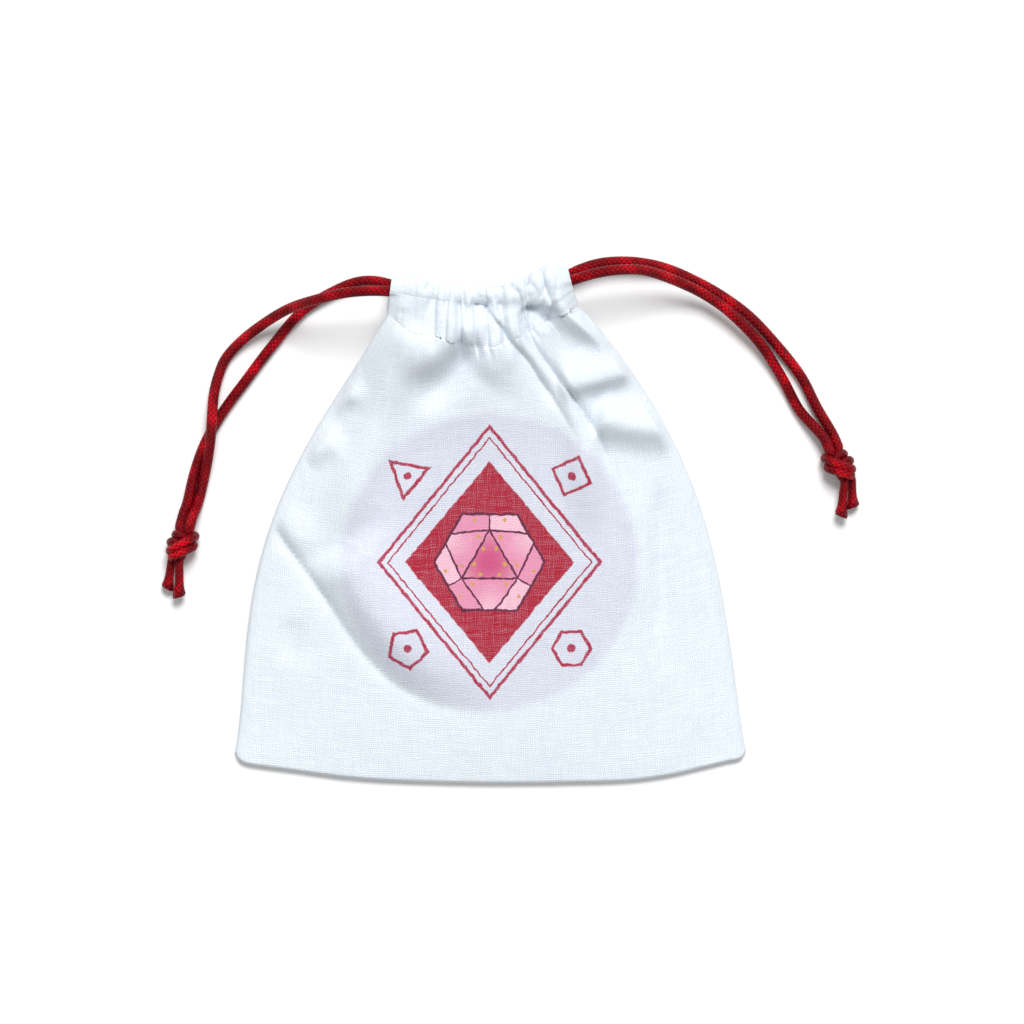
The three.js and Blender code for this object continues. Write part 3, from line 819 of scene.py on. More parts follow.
def tail_piece(name, cord, which):
    """A short tail whose cut end was melted: it flares, and its face is slanted and a little hollow."""
    at = knot_frame(cord)
    over, knot_side = strand_sides(cord, which)
    size = TAIL_LENGTHS[knot_side * cord["mirror"]]
    dip = STRAND_DIP + over * TAIL_RISE
    foot = at(KNOT_REACH, knot_side * TAIL_GAP, dip)
    aim = (cord["tail_heading"] + knot_side * TAIL_SPREAD) * DEGREE
    end = foot + size * np.array([math.cos(aim), math.sin(aim), 0])
    end[2] = TAIL_FLARE + (1 + over) * TAIL_RISE
    direction = unit(end - foot)
    lead = at(KNOT_REACH - 1.8, knot_side * TAIL_GAP, dip)
    path = smooth_curve([lead, foot, foot + direction * 3, foot + direction * (size + 0.4)], 0.16)
    radius = np.interp(np.linspace(0, 1, len(path)), TAIL_STATIONS, TAIL_WIDTHS)
    vertices, faces, uv = braided_tube(path, radius, ends=(True, False))
    # Hollow face of the cut end
    low = (len(path) - 1) * CORD_SIDES
    ring, uv_ring = vertices[low:low + CORD_SIDES], uv[low:low + CORD_SIDES]
    centre = path[-1]
    for width, depth in ((0.72, 0.25), (0.42, 0.62), (0.15, 0.75)):
        faces += ring_faces(low, len(vertices))
        low = len(vertices)
        vertices = np.vstack([vertices, centre + (ring - centre) * width - direction * depth])
        uv = np.vstack([uv, uv_ring])
    faces += cap_faces(len(vertices), low)
    vertices = np.vstack([vertices, (centre - direction * 0.78)[None, :]])
    uv = np.vstack([uv, uv_ring[:1]])
    # Slanted cut, and the bead uneven where the melt ran
    past = (vertices - foot) @ direction
    tilt = smooth_step((past - size * 0.8) / 1.6)
    slant = (vertices - centre) @ np.cross([0, 0, 1.0], direction) * 0.3 * knot_side
    vertices = vertices - tilt[:, None] * slant[:, None] * direction
    wave = 0.09 * np.sin(7 * np.arctan2(vertices[:, 2] - centre[2], vertices[:, 0] - centre[0]))
    vertices = vertices + (tilt * wave)[:, None] * unit(vertices - centre + 1e-6)
    vertices[:, 2] = np.maximum(vertices[:, 2], 0.02)
    obj = mesh_object(name, vertices, faces, uv, [satin_cord, sealed_cord])
    for face in obj.data.polygons:
        if (np.array(face.center) / MM - foot) @ direction > size * 0.87:
            face.material_index = 1
    return obj


def make_drawcord(label):
    cord = DRAWCORDS[label]

    def dress(piece, node):
        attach(piece, f"{label}_drawcord")
        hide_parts(f"{label}_{node}")
        return piece

    loop_path = smooth_curve(hem_run(cord), 0.5)
    dress(cord_piece(f"{label}_cord_in_hem", loop_path, HIDDEN_SIDES), "cord_loop")
    knot = dress(knot_piece(f"{label}_drawn_knot", cord), "knot")
    for which in ("front", "back"):
        points = strand_points(cord, which)
        path = smooth_curve(points, CORD_RING)
        strand = dress(cord_piece(f"{label}_{which}_strand", path), f"strand_{which}")
        tail = dress(tail_piece(f"{label}_{which}_tail", cord, which), f"tail_{which}")


for label in DRAWCORDS:
    make_drawcord(label)


# Cloth of the bag: outline, levels and the folds of the gathers
BASE_WIDTH = 125.2
CORNER_Y = -56
LEFT_BOW = 10.7
RIGHT_BOW = 11.6
SEAM_WIDTH = 7
SEAM_PLY = 0.8
SEAM_STACK = SEAM_PLY / 2 + CLEARANCE + CLOTH
SEAM_TOP = HEM_HEIGHT + MOUTH_GAP / 2
# Height of the front's stitches, and how much of their rise the frame's panel has too
FRONT_STITCH = FRONT_LOW + 5.2
STITCH_LIFT = 2.8
LEAST_STITCH = 14.0
BACK_STITCH = 2.6
BACK_END_RISE = 1.3
# How soon the crown of the front rises towards the mouth, and how flat it is across
CROWN_RISE = 0.8
CROWN_FLATNESS = 2.4
# Where a hem starts to roll over its fold: back from the fold, and down from its face
ROLL_BACK = 2.3
ROLL_DOWN = 0.12
EDGE_ROUND = 0.6
BOTTOM_EDGE = [
    (-62.6, -56), (-61.7, -57.9), (-60.2, -58.9), (-55, -59.8), (-48.1, -60.7), (-36, -62.3),
    (-25.6, -63.1), (0, -63.8), (20, -63.6), (34.4, -63.1), (44, -61.8), (52.3, -59.9),
    (58, -58.5), (61.4, -57.7), (62.6, -56),
]


def uniform_spline(values, t):
    """A Catmull-Rom curve through evenly spaced values, at shares t from 0 to 1."""
    values = np.asarray(values, float)
    last = len(values) - 1
    at = np.clip(np.asarray(t, float), 0, 1) * last
    i = np.minimum(at.astype(int), last - 1)
    w = at - i
    p0, p1 = values[np.maximum(i - 1, 0)], values[i]
    p2, p3 = values[i + 1], values[np.minimum(i + 2, last)]
    v0, v1 = (p2 - p0) / 2, (p3 - p1) / 2
    return (2 * p1 - 2 * p2 + v0 + v1) * w**3 + (-3 * p1 + 3 * p2 - 2 * v0 - v1) * w**2 + v0 * w + p1


def hem_top(u):
    x = MOUTH_LEFT + MOUTH_WIDTH * np.asarray(u, float)
    return np.stack([x, uniform_spline(HEM_TOP, u)], axis=-1)


def stitch_line(u):
    left, right = MOUTH_LEFT - LEFT_FLARE, MOUTH_RIGHT + RIGHT_FLARE
    x = left + (right - left) * np.asarray(u, float)
    return np.stack([x, uniform_spline(STITCH_HEIGHTS, u)], axis=-1)


bottom_curve = smooth_curve(BOTTOM_EDGE, 0.5)
bottom_share = np.linspace(0, 1, len(bottom_curve))


def bottom_edge(u):
    return sample(bottom_curve, bottom_share, u)


def side_edge(v, side):
    corner = np.array([side * BASE_WIDTH / 2, CORNER_Y])
    end = stitch_line(0 if side < 0 else 1) - [0, CLEARANCE]
    bow, shift, sharpness = (LEFT_BOW, 1.08, 1.15) if side < 0 else (RIGHT_BOW, 1.35, 0.8)
    v = np.asarray(v, float)
    out = bow * np.abs(np.sin(math.pi * v**shift)) ** sharpness
    return corner + (end - corner) * v[..., None] + np.stack([out * side, 0 * out], axis=-1)


def panel_plan(u, v):
    """A point of a panel seen from above, blended from its four edges."""
    u, v = np.broadcast_arrays(np.asarray(u, float), np.asarray(v, float))
    uu, vv = u[..., None], v[..., None]
    top = stitch_line(u) - [0, CLEARANCE]
    sides, low, high = [side_edge(at, -1) * (1 - uu) + side_edge(at, 1) * uu for at in (v, 0.0, 1.0)]
    return bottom_edge(u) * (1 - vv) + top * vv + sides - low * (1 - vv) - high * vv


def seam_level(v):
    return SEAM_STACK + (SEAM_TOP - SEAM_STACK) * v**1.5


def edge_share(u):
    return np.abs(2 * u - 1)


def from_sides(x):
    """How far each place of a panel is from the nearer side edge."""
    return np.minimum(x - x[:, :1], x[:, -1:] - x)


def edge_roll(from_side, from_bottom):
    """0 on the outline, rising to 1 over the rounded edge inside it."""
    a = np.clip(1 - from_side / EDGE_ROUND, 0, 1)
    b = np.clip(1 - from_bottom / EDGE_ROUND, 0, 1)
    return np.sqrt(np.clip(1 - a * a - b * b, 0, 1))


def uneven_steps(width, fine, step):
    """Shares from 0 to 1 with close steps at the start."""
    start = np.cumsum([0] + [fine * (1 + 0.35 * i) for i in range(9)])
    rest = np.arange(start[-1] + step, width, step)
    return np.concatenate([start, rest[:-1] if width - rest[-1] < step / 2 else rest, [width]]) / width


def both_ends(width, fine, step):
    half = uneven_steps(width / 2, fine, step) / 2
    return np.concatenate([half, 1 - half[-2::-1]])


# Folds of the front, as lines on the table plan from the mouth downwards or from left to right. Each
# has a shape, a height, its widths on the right and the left of somebody who walks along it, and the
# shares of its length that it fades over at its start and its end.
FRONT_FOLDS = [
    # Grooves of the gathers across the hem
    ("crease", -1.7, 0.7, 0.7, 0.0, 0.5, [(-13.0, 61), (-13.6, 57.0), (-14.6, 53.0), (-16.2, 48.5)]),
    ("crease", -1.3, 0.5, 0.5, 0.3, 0.5, [(-14.4, 59.5), (-15.0, 57.9), (-16.4, 55.9)]),
    ("crease", -1.5, 0.7, 0.7, 0.0, 0.5, [(-9.8, 60), (-10.3, 55.6), (-11.0, 52.4), (-12.6, 47.5)]),
    ("crease", -1.2, 0.6, 0.6, 0.0, 0.5, [(-7.8, 60), (-7.7, 57), (-7.6, 54)]),
    ("crease", -3.0, 0.6, 0.6, 0.2, 0.4, [
        (-7.7, 56), (-7.6, 52.3), (-7.1, 48.8), (-6.9, 44.4), (-7.4, 39)]),
    ("crease", -1.4, 0.5, 0.5, 0.1, 0.5, [
        (-6.6, 57), (-6.4, 54.7), (-6.1, 51.6), (-5.1, 47.3), (-3.7, 43.4)]),
    ("crease", -1.4, 0.6, 0.6, 0.0, 0.4, [(0.0, 59), (0.9, 55.4), (2.4, 51.5), (3.2, 48.0)]),
    ("crease", -1.5, 0.5, 0.5, 0.0, 0.6, [(4.0, 60), (4.8, 57.7), (6.6, 55.8), (7.7, 52.3)]),
    ("crease", -1.6, 0.5, 0.5, 0.0, 0.6, [(8.0, 62), (9.1, 58.8), (10.9, 56.6), (11.8, 54)]),
    ("crease", -2.4, 0.7, 0.7, 0.0, 0.4, [
        (12.2, 61), (13.5, 56.8), (14.6, 53.4), (14.9, 50.6), (13.6, 48.0), (13.0, 46)]),
    # Two long edges that run down from the mouth, each rounded on its right and sharp on its left
    ("crease", -2.2, 1.7, 0.5, 0.10, 0.5, [
        (-4.4, 53.4), (-2.2, 52.6), (0.1, 50.4), (2.8, 47.3), (5.6, 43.5), (9.5, 39.3),
        (11.8, 35.5), (15.3, 30.2), (18.5, 24.9), (23.1, 16.5)]),
    ("crease", -3.4, 1.3, 0.8, 0.10, 0.5, [
        (7.5, 55), (7.9, 51.2), (8.5, 48.4), (9.5, 45.8), (11.0, 42.7), (13.4, 39.3), (17.2, 34.3),
        (21.1, 29.3), (23.5, 25.2), (25.7, 22.0), (28.0, 16.7), (28.8, 13.1), (31.2, 3.3)]),
    ("swell", 1.6, 2.2, 2.2, 0.1, 0.3, [(4.5, 50), (8.8, 43.5), (13.2, 38), (18, 32.2), (22.6, 24.5)]),
    # Hollows between the gathers
    ("swell", -3.0, 1.9, 1.7, 0.25, 0.3, [(-4.8, 54.0), (-2, 53.0), (0.6, 51.2)]),
    ("swell", -4.2, 2.3, 2.3, 0.25, 0.35, [(9.6, 53.6), (12.0, 50.8), (14.0, 47.6)]),
    ("crease", -1.4, 0.6, 0.6, 0.3, 0.4, [(9.4, 53.0), (10.3, 51.5), (11.3, 50.5)]),
    # Crests whose steep side faces away from the window
    ("swell", 4.6, 4.6, 6.0, 0.45, 0.2, [
        (-23, 36.5), (-17.5, 38.8), (-12.6, 42.0), (-8.2, 46.4), (-4.8, 52)]),
    ("swell", -3.4, 3.4, 4.4, 0.4, 0.3, [
        (-20, 28.0), (-14.6, 30.6), (-10.4, 34.6), (-6.8, 39.6), (-4.2, 45.5)]),
    ("swell", 2.0, 5.0, 6.5, 0.15, 0.3, [(1.0, 52.0), (2.0, 46), (1.0, 40), (-3.0, 34)]),
    ("swell", 2.8, 7.0, 5.0, 0.10, 0.30, [
        (-17.5, 50), (-20.4, 43.5), (-26, 26.6), (-31.7, 10.7), (-35.5, -2), (-38.2, -9)]),
    ("swell", 3.0, 4.4, 5.0, 0.25, 0.5, [(17.0, 35), (21.6, 22.5), (23.2, 9), (24.0, -5)]),
    ("swell", 2.2, 3.0, 4.5, 0.3, 0.4, [(-40.5, 28.6), (-35, 31.0), (-29, 33.6)]),
    ("swell", 1.8, 3.0, 4.5, 0.3, 0.4, [(-46, 16.4), (-40.5, 18.2), (-34.5, 20.6)]),
    ("swell", 1.4, 4.6, 4.0, 0.3, 0.4, [(-1.5, 44.5), (3, 42.5), (8, 41.2)]),
    ("swell", 4.6, 3.6, 5.0, 0.12, 0.15, [(12.6, 55.4), (17, 52.6), (22.4, 49.2), (30.8, 45.8)]),
    ("swell", 4.6, 3.3, 5.0, 0.12, 0.15, [(15.5, 34.0), (22.5, 35.2), (29, 36.8), (38, 40.6)]),
    ("swell", 4.8, 4.2, 5.0, 0.12, 0.15, [(24.6, 26.0), (31, 24.2), (38, 23.0), (47.6, 22.6)]),
    # The large fold across the lower left: a narrow start, then a broad slope above a crisp foot
    ("crease", -1.9, 0.9, 0.9, 0.06, 0.45, [
        (-58.0, 3.0), (-53.6, -1.0), (-48.8, -7.4), (-44.8, -12.8), (-41, -18), (-37, -23.5)]),
    ("swell", 1.4, 3.0, 4.0, 0.25, 0.4, [(-53.0, 3.5), (-47.5, -3.0), (-43.0, -8.6)]),
    ("step", 5.0, 1.6, 9.0, 0.12, 0.7, [
        (-46.4, -10.6), (-44.0, -14.0), (-40.6, -18.6), (-35.2, -26.6), (-30.4, -32.9), (-23.4, -39.6),
        (-14.5, -44.2), (-3, -46.8), (9, -46.6)]),
    # Long soft valleys of the body
    ("swell", -0.8, 3.0, 3.0, 0.4, 0.4, [(-48.4, -22), (-49.0, -29), (-49.6, -36)]),
    ("swell", 0.8, 4.0, 4.0, 0.3, 0.4, [(35.6, 12), (36.2, -8), (35.4, -28)]),
    ("swell", -1.3, 2.6, 2.6, 0.3, 0.4, [(41.0, 12.4), (42.0, -12), (42.6, -40)]),
    ("swell", -0.6, 1.4, 1.4, 0.3, 0.4, [(50.0, 2), (53.6, -12), (57.4, -36)]),
    ("swell", 1.0, 2.4, 2.4, 0.4, 0.4, [(-20.4, 56), (-21.0, 51), (-20.8, 47)]),
]


def fold_distance(points, x, y):
    """Signed distance from the line, and the share of its length, for each place."""
    line = smooth_curve(points, 1.2)
    run = lengths_along(line) / lengths_along(line)[-1]
    best = np.full(x.shape, 1e9)
    signed = np.zeros(x.shape)
    share = np.zeros(x.shape)
    for k in range(len(line) - 1):
        ax, ay = line[k]
        dx, dy = line[k + 1] - line[k]
        size = math.hypot(dx, dy)
        inside = np.clip(((x - ax) * dx + (y - ay) * dy) / size**2, 0, 1)
        px, py = x - ax - inside * dx, y - ay - inside * dy
        far = np.hypot(px, py)
        nearer = far < best
        best = np.where(nearer, far, best)
        beside = (px * -dy + py * dx) / size
        signed = np.where(nearer, np.where(np.abs(beside) > 1e-9, np.sign(beside), 1) * far, signed)
        share = np.where(nearer, run[k] + (run[k + 1] - run[k]) * inside, share)
    return signed, share, line


def fold_fade(share, fade_in, fade_out):
    up = smooth_step(share / fade_in) if fade_in > 0 else np.ones_like(share)
    return up * smooth_step((1 - share) / fade_out)


def fold_profile(shape, away, right, left):
    """Height across a fold, for a signed distance that is positive on the left of its line."""
    far = np.abs(away) / np.where(away > 0, left, right)
    if shape == "swell":
        return np.exp(-far**2)
    if shape == "crease":
        return np.exp(-np.sqrt(far**2 + 0.01))
    # A step climbs from its line to the left, and the cloth dips a little just before it
    share = np.clip(away / left, 0, 1)
    climb = 1.25 * share - 0.25 * share**5
    top = np.exp(-(np.clip(away - left, 0, None) / (1.1 * left)) ** 2)
    return climb * top - 0.15 * np.exp(-np.abs(away) / right)


def apply_folds(folds, x, y):
    """Height of all folds at each place."""
    height = np.zeros(x.shape)
    for shape, size, right, left, fade_in, fade_out, points in folds:
        away, share, line = fold_distance(points, x, y)
        fade = fold_fade(share, fade_in, fade_out)
        ends = [np.hypot(x - end[0], y - end[1]) for end in (line[0], line[-1])]
        past = np.exp(-(np.minimum(*ends) / (max(right, left) + 0.6)) ** 2)
        fade = np.where((share <= 0) | (share >= 1), fade * past, fade)
        height += size * fade * fold_profile(shape, away, right, left)
    return height


def random_waves(x, count, seed):
    """A smooth uneven line with about count waves between 0 and 1."""
    source = np.random.default_rng(seed)
    total = np.zeros(np.shape(x))
    for _ in range(5):
        total += np.sin(2 * math.pi * (count * source.uniform(0.7, 1.4) * x + source.uniform(0, 1)))
    return total / 5


def soft_ground(x, y, seed):
    """Low uneven swells of cloth that has been pressed flat once."""
    source = np.random.default_rng(seed)
    total = np.zeros(x.shape)
    for _ in range(14):
        angle = source.uniform(0, math.pi)
        length = source.uniform(9, 26)
        phase = source.uniform(0, 2 * math.pi)
        total += np.sin(2 * math.pi * (x * math.cos(angle) + y * math.sin(angle)) / length + phase)
    return total / 14


def hem_section(depth, stitch, high, low, counts):
    """One station of the rolled hem, from the stitches over the cords and back to the stitches."""
    middle, rise, drop = (high + low) / 2, high - stitch, stitch - low
    top, under = (depth - ROLL_BACK, high - ROLL_DOWN), (depth - ROLL_BACK, low + ROLL_DOWN)
    curve = smooth_curve([
        (0, stitch), (0.12 * depth, stitch + 0.17 * rise), (0.30 * depth, stitch + 0.45 * rise),
        (0.52 * depth, stitch + 0.8 * rise), (depth - 4.2, high), top,
        (depth - 0.75, high - 1.1), (depth, middle + 0.9), (depth, middle - 0.9), (depth - 0.75, low + 1.1),
        under, (depth - 4.2, low), (0.5 * depth, low + 0.1 * drop), (0.25 * depth, low + 0.45 * drop),
        (0.06 * depth, stitch - 0.9),
    ], 0.1)
    run = lengths_along(curve)
    over, back = [run[np.argmin(np.hypot(*(curve - point).T))] for point in (top, under)]
    return sample(curve, run, np.concatenate([
        np.linspace(0, over, counts[0], endpoint=False),
        np.linspace(over, back, counts[1], endpoint=False),
        np.linspace(back, run[-1], counts[2]),
    ]))


def grid_faces(rows, columns):
    index = np.arange(rows * columns).reshape(rows, columns)
    quads = np.stack([index[:-1, :-1], index[:-1, 1:], index[1:, 1:], index[1:, :-1]], axis=-1)
    return [tuple(q) for q in quads.reshape(-1, 4).tolist()]


def cloth_uv(points):
    """Lengths along the cloth, measured from its middle column and from its lowest row."""
    steps = [np.linalg.norm(np.diff(points, axis=axis), axis=2) for axis in (0, 1)]
    along, across = [np.insert(np.cumsum(s, axis=axis), 0, 0, axis=axis) for axis, s in enumerate(steps)]
    middle = points.shape[1] // 2
    across -= across[:, middle:middle + 1]
    kernel = np.hanning(25)
    kernel /= kernel.sum()
    padded = np.pad(along, ((0, 0), (12, 12)), mode="edge")
    along = np.stack([np.convolve(row, kernel, mode="valid") for row in padded])
    return np.stack([across.ravel(), along.ravel()], axis=1)


def cloth_normals(points):
    down = np.gradient(points, axis=0)
    across = np.gradient(points, axis=1)
    return unit(np.cross(across, down) + 1e-12)


def cloth_object(name, points, materials, thickness=CLOTH, offset=-1, outward=1):
    """A sheet with its thickness. Its inner face has the last of the materials."""
    faces = grid_faces(*points.shape[:2])
    if outward < 0:
        faces = [face[::-1] for face in faces]
    obj = mesh_object(name, points.reshape(-1, 3), faces, cloth_uv(points), materials)
    solid = obj.modifiers.new("thickness", "SOLIDIFY")
    solid.thickness = thickness * MM
    solid.offset = offset
    solid.material_offset = len(materials) - 1
    solid.material_offset_rim = len(materials) - 1
    return obj


# Rows of a hem: over the cords, round the fold and down the inside
FRONT_ROWS = (28, 12, 18)
BACK_ROWS = (16, 10, 12)
SLIT_START = 0.8
SLIT_LIFT = 7.0
PANEL_RUN = 105
GATHER_COUNT = 13
BACK_PLEATS = 9
PLEAT_HEIGHT = 1.1
DEEPEST_FOLD = 5.0
CORD_BERTH = CORD_RADIUS + CLOTH + CLEARANCE / 2
cord_lines = np.vstack([smooth_curve(hem_run(cord), 0.5) for cord in DRAWCORDS.values()])


def gathers(u):
    """Narrow uneven grooves between the soft pleats of the gathered hem, few at its two ends."""
    phase = GATHER_COUNT * u + 0.6 * random_waves(u, 4, 7)
    groove = (1 - np.abs(np.sin(math.pi * phase))) ** 2
    middle = 1 - 0.75 * smooth_step((edge_share(u) - 0.45) / 0.3)
    return (-groove * (1.1 + 0.9 * random_waves(u, 6, 8)) + 0.25 * random_waves(u, 19, 10)) * middle


def round_cords(points):
    """Moves the cloth of a hem off the cords wherever it would be pressed into one."""
    away = points[:, :, None, :] - cord_lines[None, None, :, :]
    far = np.linalg.norm(away, axis=-1)
    nearest = far.argmin(axis=-1)
    way = np.take_along_axis(away, nearest[..., None, None], axis=2)[:, :, 0]
    lift = np.clip(CORD_BERTH - far.min(axis=-1), 0, None)
    return points + unit(way + 1e-9) * lift[..., None]


def lift_over_cords(points):
    """Keeps the top of the front hem above the cords in it, however deep a fold is."""
    high = cord_lines[cord_lines[:, 2] > FRONT_LOW]
    beside = np.linalg.norm(points[:, :, None, :2] - high[None, None, :, :2], axis=-1)
    top = high[:, 2] + np.sqrt(np.clip(CORD_BERTH**2 - beside**2, 0, None))
    least = np.where(beside < CORD_BERTH, top, 0).max(axis=-1)
    lifted = points.copy()
    lifted[..., 2] = np.maximum(points[..., 2], least)
    return lifted


def panel_grid(fine, across_step, up_step):
    """Shares across and up a panel, its places seen from above, and its rounded edge."""
    u = both_ends(BASE_WIDTH, fine, across_step)[None, :]
    v = uneven_steps(PANEL_RUN, fine, up_step)[:, None]
    x, y = np.moveaxis(panel_plan(u, v), -1, 0)
    return u, v, x, y, edge_roll(from_sides(x), y - y[:1, :])


def with_hem(x, y, z, foot, head, section):
    """The points of a panel's rows, and after them those of its hem, with one section a column."""
    hem = []
    for k in range(len(foot)):
        way = head[k] - foot[k]
        depth = math.hypot(*way)
        line = section(k, depth)
        hem.append(np.column_stack([foot[k] + line[:, :1] * (way / depth), line[:, 1]]))
    points = np.concatenate([np.dstack([x, y, z]), np.stack(hem, axis=1)], axis=0)
    return points, np.arange(len(points))[:, None] - len(x)


def front_cloth():
    u, v, x, y, roll = panel_grid(0.12, 0.58, 0.9)
    # Near the mouth the seam ends, and the front lifts off the back in a slit
    seam = seam_level(v) + SLIT_LIFT * smooth_step((v - SLIT_START) / (1 - SLIT_START))
    crown = 2 * SEAM_STACK + (FRONT_LOW + STITCH_LIFT + CLOTH - 2 * SEAM_STACK) * v**CROWN_RISE
    crown = crown + (FRONT_STITCH - FRONT_LOW - STITCH_LIFT) * smooth_step((v - 0.72) / 0.28)
    low = seam + SEAM_STACK
    body = low + np.maximum(0, crown - low) * (1 - edge_share(u) ** CROWN_FLATNESS)
    z = seam + (body - seam) * roll

    def section(k, depth):
        at = u[0, k]
        high = FRONT_HIGH + 0.9 + 0.4 * random_waves(at, 7, 3) - 0.5 * edge_share(at) ** 4
        return hem_section(depth, max(z[-1, k], LEAST_STITCH), high, FRONT_LOW, FRONT_ROWS)

    # row counts from the stitches, up through the hem
    points, row = with_hem(x, y, z, stitch_line(u[0]), hem_top(u[0]), section)
    outer_rows, fold_rows, inner_rows = FRONT_ROWS
    outer = 1 - smooth_step((row - outer_rows - 3) / (fold_rows - 2))
    px, py = points[..., 0], points[..., 1]
    side = from_sides(px)
    inside = smooth_step(side / 3.5) * smooth_step((py - py[:1, :]) / 3)
    height = apply_folds(FRONT_FOLDS, px, py)
    height = np.where(height < 0, DEEPEST_FOLD * np.tanh(height / DEEPEST_FOLD), height)
    sunk = np.minimum(height, 0)
    from_stitch = row * 0.5
    height = height - 0.2 * np.exp(-np.abs(from_stitch) / 0.5)
    puckers = random_waves(u, 38, 9) * 0.2
    height = height + puckers * np.exp(-(from_stitch / 1.8) ** 2)
    height = height + 0.22 * soft_ground(px, py, 11) * smooth_step(side / 4)
    behind = smooth_step((row - outer_rows - fold_rows) / 4)
    inner_pleats = 0.9 * random_waves(u, 12, 15) * behind
    below = np.clip(-row, 0, None) * 0.9
    grooves = gathers(u) * np.exp(-(below / 3) ** 2) * (1 - behind)
    normals = cloth_normals(points)
    points = points + normals * (height * outer * inside + grooves * inside + inner_pleats)[..., None]
    # The ply inside the hem gives way under a fold, up to where the cords are
    points[..., 2] += sunk * smooth_step((row - sum(FRONT_ROWS) + 15) / 8)
    first = len(x)
    over = slice(first - 4, first + outer_rows)
    points[over] = lift_over_cords(points[over])
    points[first:] = round_cords(points[first:])
    return points, first


def back_cloth():
    u, v, x, y, roll = panel_grid(0.16, 0.95, 1.2)
    turn_up = smooth_step((edge_share(u) - 0.4) / 0.6)
    lift = BACK_STITCH * smooth_step((v - 0.86) / 0.14) * (1 - turn_up)
    low = (seam_level(v) - SEAM_STACK) * turn_up + lift
    z = seam_level(v) + (low - seam_level(v)) * roll
    head = hem_top(u[0])
    # The back hem stands a little higher at its ends, where its cords leave it
    head[:, 1] += BACK_END_RISE * smooth_step((edge_share(u[0]) - 0.4) / 0.35)

    def section(k, depth):
        stitch = HEM_HEIGHT - min(z[-1, k], HEM_HEIGHT + 1.5)
        line = hem_section(depth, stitch, HEM_HEIGHT - 0.1, 0.0, BACK_ROWS)
        return line * [1, -1] + [0, HEM_HEIGHT]

    points, row = with_hem(x, y, z, stitch_line(u[0]), head, section)
    px, py = points[..., 0], points[..., 1]
    side = from_sides(px)
    share = np.clip((row + len(x)) / len(x), 0, 1)
    pleats = (0.5 - 0.5 * np.cos(2 * math.pi * BACK_PLEATS * u + random_waves(u, 5, 21))) * PLEAT_HEIGHT
    height = pleats * smooth_step((share - 0.7) / 0.3) * smooth_step(side / 5)
    ground = 0.3 * (soft_ground(px, py, 23) + 1)
    height = height + ground * smooth_step(side / 8) * smooth_step((py - py[:1, :]) / 8)
    normals = cloth_normals(points)
    points = points + normals * height[..., None] * np.where(normals[..., 2:] > 0, 1, 0.3)
    points[..., 2] = np.maximum(points[..., 2], 0.02)
    return points, len(x)


front_points, front_stitch_row = front_cloth()
back_points, back_stitch_row = back_cloth()
front = cloth_object("front_of_bag", front_points, [printed_canvas, canvas])
back = cloth_object("back_of_bag", back_points, [canvas, canvas], outward=-1)


# Turned-in edges inside the seams
def allowance(name, edge, inward, level):
    t = np.linspace(0.075, 0.985, 120)
    rows = []
    for share in np.linspace(0, 1, 9):
        wave = 0.10 * random_waves(t, 14, 31) * share
        place = edge(t) + np.array(inward) * (CLEARANCE + share * SEAM_WIDTH)
        rows.append(np.column_stack([place, level(t) + SEAM_PLY / 2 + wave]))
    points = np.array(rows)
    outward = np.cross(points[1, 0] - points[0, 0], points[0, 1] - points[0, 0])[2]
    return cloth_object(name, points, [canvas], SEAM_PLY, 0, outward)


def flat_level(t):
    return SEAM_STACK + 0 * t


left_seam = allowance("left_seam_edge", lambda t: side_edge(t, -1), (1, 0), seam_level)
right_seam = allowance("right_seam_edge", lambda t: side_edge(t, 1), (-1, 0), seam_level)
bottom_seam = allowance("bottom_seam_edge", lambda t: bottom_edge(0.03 + 0.94 * t), (0, 1), flat_level)


# Sewing: one small arch of thread for each stitch, placed by Geometry Nodes
STITCH_PITCH = 1.6
STITCH_LENGTH = 1.25
THREAD_WIDTH = 0.2
STITCH_ARCH = 0.16


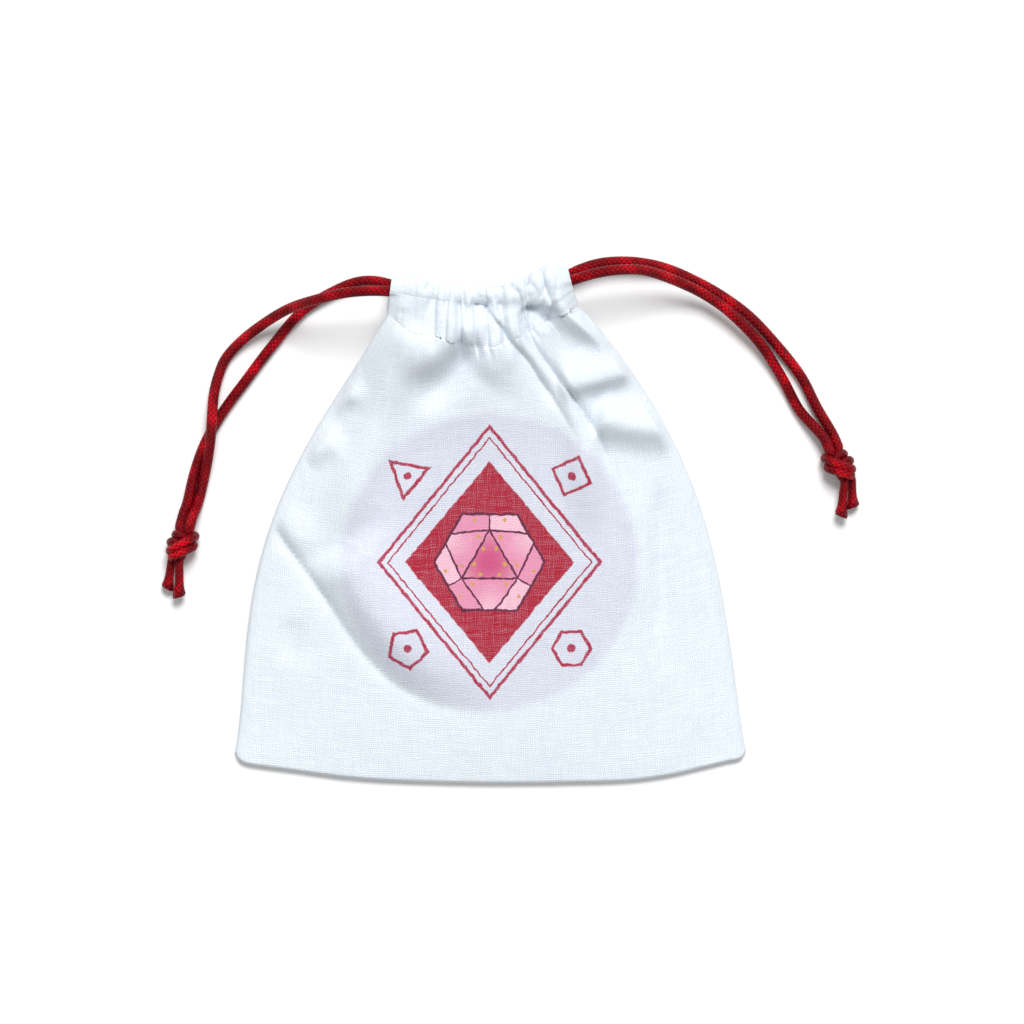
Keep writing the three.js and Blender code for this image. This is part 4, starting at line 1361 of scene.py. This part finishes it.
def stitch_tree():
    tree = bpy.data.node_groups.new("stitches", "GeometryNodeTree")
    for label, way, kind in (
        ("Places", "INPUT", "Geometry"),
        ("Stitch length", "INPUT", "Float"),
        ("Thread width", "INPUT", "Float"),
        ("Arch", "INPUT", "Float"),
        ("Finish", "INPUT", "Material"),
        ("Stitches", "OUTPUT", "Geometry"),
    ):
        tree.interface.new_socket(label, in_out=way, socket_type="NodeSocket" + kind)
    nodes = Nodes(tree)
    sockets = nodes.node("NodeGroupInput").outputs
    given = {socket.name: Field(nodes, socket) for socket in sockets if socket.name}
    length, arch = given["Stitch length"], given["Arch"]

    def point(x, z):
        return nodes.field("ShaderNodeCombineXYZ", {0: x, 2: z})

    def attribute(name):
        return nodes.field("GeometryNodeInputNamedAttribute", {"Name": name}, data_type="FLOAT_VECTOR")

    curve = nodes.field("GeometryNodeCurveQuadraticBezier", {
        "Resolution": 6, "Start": point(length * -0.5, arch * -0.8),
        "Middle": point(0.0, arch * 2.2), "End": point(length * 0.5, arch * -0.8)})
    circle = nodes.field("GeometryNodeCurvePrimitiveCircle", {
        "Resolution": 6, "Radius": given["Thread width"] * 0.5})
    stitch = nodes.field("GeometryNodeCurveToMesh", {
        "Curve": curve, "Profile Curve": circle, "Fill Caps": True})
    turned = nodes.field(
        "FunctionNodeAxesToRotation", {0: attribute("cloth_up"), 1: attribute("row_way")},
        primary_axis="Z", secondary_axis="X")
    varied = nodes.field(
        "FunctionNodeRandomValue", {0: (0.88, 0.9, 0.8), 1: (1.1, 1.1, 1.15), "Seed": 4},
        data_type="FLOAT_VECTOR")
    placed = nodes.field("GeometryNodeInstanceOnPoints", {
        "Points": given["Places"], "Instance": stitch, "Rotation": turned, "Scale": varied})
    real = nodes.field("GeometryNodeRealizeInstances", {0: placed})
    smooth = nodes.field("GeometryNodeSetShadeSmooth", {0: real})
    done = nodes.field("GeometryNodeSetMaterial", {"Geometry": smooth, "Material": given["Finish"]})
    nodes.node("NodeGroupOutput", {0: done})
    return tree


stitches = stitch_tree()


def sew(name, line, up):
    """Stitches along a line of points, each with the cloth's upward direction there."""
    run = lengths_along(line)
    at = np.arange(STITCH_PITCH / 2, run[-1], STITCH_PITCH)
    places = sample(line, run, at)
    mesh = bpy.data.meshes.new(name)
    mesh.from_pydata((places * MM).tolist(), [], [])
    ways = unit(np.gradient(places, axis=0))
    for label, values in (("cloth_up", unit(sample(up, run, at))), ("row_way", ways)):
        mesh.attributes.new(label, "FLOAT_VECTOR", "POINT").data.foreach_set("vector", values.ravel())
    obj = add_object(name, mesh)
    modifier = obj.modifiers.new("stitches", "NODES")
    modifier.node_group = stitches
    given = {
        "Stitch length": STITCH_LENGTH * MM, "Thread width": THREAD_WIDTH * MM,
        "Arch": STITCH_ARCH * MM, "Finish": sewing_thread,
    }
    for item in stitches.interface.items_tree:
        if item.in_out == "INPUT" and item.name in given:
            modifier[item.identifier] = given[item.name]
    view = bpy.context.evaluated_depsgraph_get()
    sewn = bpy.data.meshes.new_from_object(obj.evaluated_get(view))
    obj.modifiers.clear()
    obj.data = sewn
    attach(obj, "bag")
    return obj


def hem_row(name, points, row, outward):
    up = cloth_normals(points)[row] * outward
    line = points[row] + 0.05 * up
    inset = slice(4, -4)
    return sew(name, line[inset], up[inset])


front_stitching = hem_row("front_hem_stitching", front_points, front_stitch_row, 1)
back_stitching = hem_row("back_hem_stitching", back_points, back_stitch_row, -1)

for piece, nodes in (
    (front, ["front_panel", "front_hem_tunnel"]),
    (back, ["back_panel", "back_hem_tunnel"]),
    (left_seam, ["left_seam_allowance"]),
    (right_seam, ["right_seam_allowance"]),
    (bottom_seam, ["bottom_seam_allowance"]),
):
    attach(piece, "bag")
    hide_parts(*nodes)


# Floor, lamp and sky
FLOOR_HALF = 4000
SUN_POWER = 2.75
SUN_WIDTH = 26
SUN_SIDE = (0.12, 0.65, 1.0)
SKY_LIGHT = 0.42


def add_floor():
    corners = [(-1, -1, 0), (1, -1, 0), (1, 1, 0), (-1, 1, 0)]
    obj = mesh_object("floor", np.array(corners) * FLOOR_HALF, [(0, 1, 2, 3)])
    shader = Shader("white table")
    seen = shader.field("ShaderNodeLightPath", output="Is Camera Ray")
    shader.set(
        Base_Color=shader.mix(seen, (0.8, 0.8, 0.8, 1), (1.0, 1.0, 1.0, 1)),
        Roughness=0.9,
        Specular_IOR_Level=0.0,
    )
    obj.data.materials.append(shader.material)


def add_light():
    lamp = bpy.data.lights.new("window", "SUN")
    lamp.energy = SUN_POWER
    lamp.angle = SUN_WIDTH * DEGREE
    add_object("window", lamp).rotation_euler = Vector(SUN_SIDE).to_track_quat("Z", "Y").to_euler()
    world = bpy.data.worlds.new("sky")
    bpy.context.scene.world = world
    world.use_nodes = True
    sky = Nodes(world.node_tree)
    path = sky.node("ShaderNodeLightPath").outputs
    seen = Field(sky, path["Is Camera Ray"]).max(Field(sky, path["Is Glossy Ray"]))
    strength = sky.field("ShaderNodeMapRange", {"Value": seen, "To Min": SKY_LIGHT, "To Max": 1.0})
    glow = sky.field("ShaderNodeBackground", {"Strength": strength, "Color": (1, 1, 1, 1)})
    sky.node("ShaderNodeOutputWorld", {"Surface": glow})


add_floor()
add_light()
bpy.context.scene.view_settings.view_transform = "Standard"
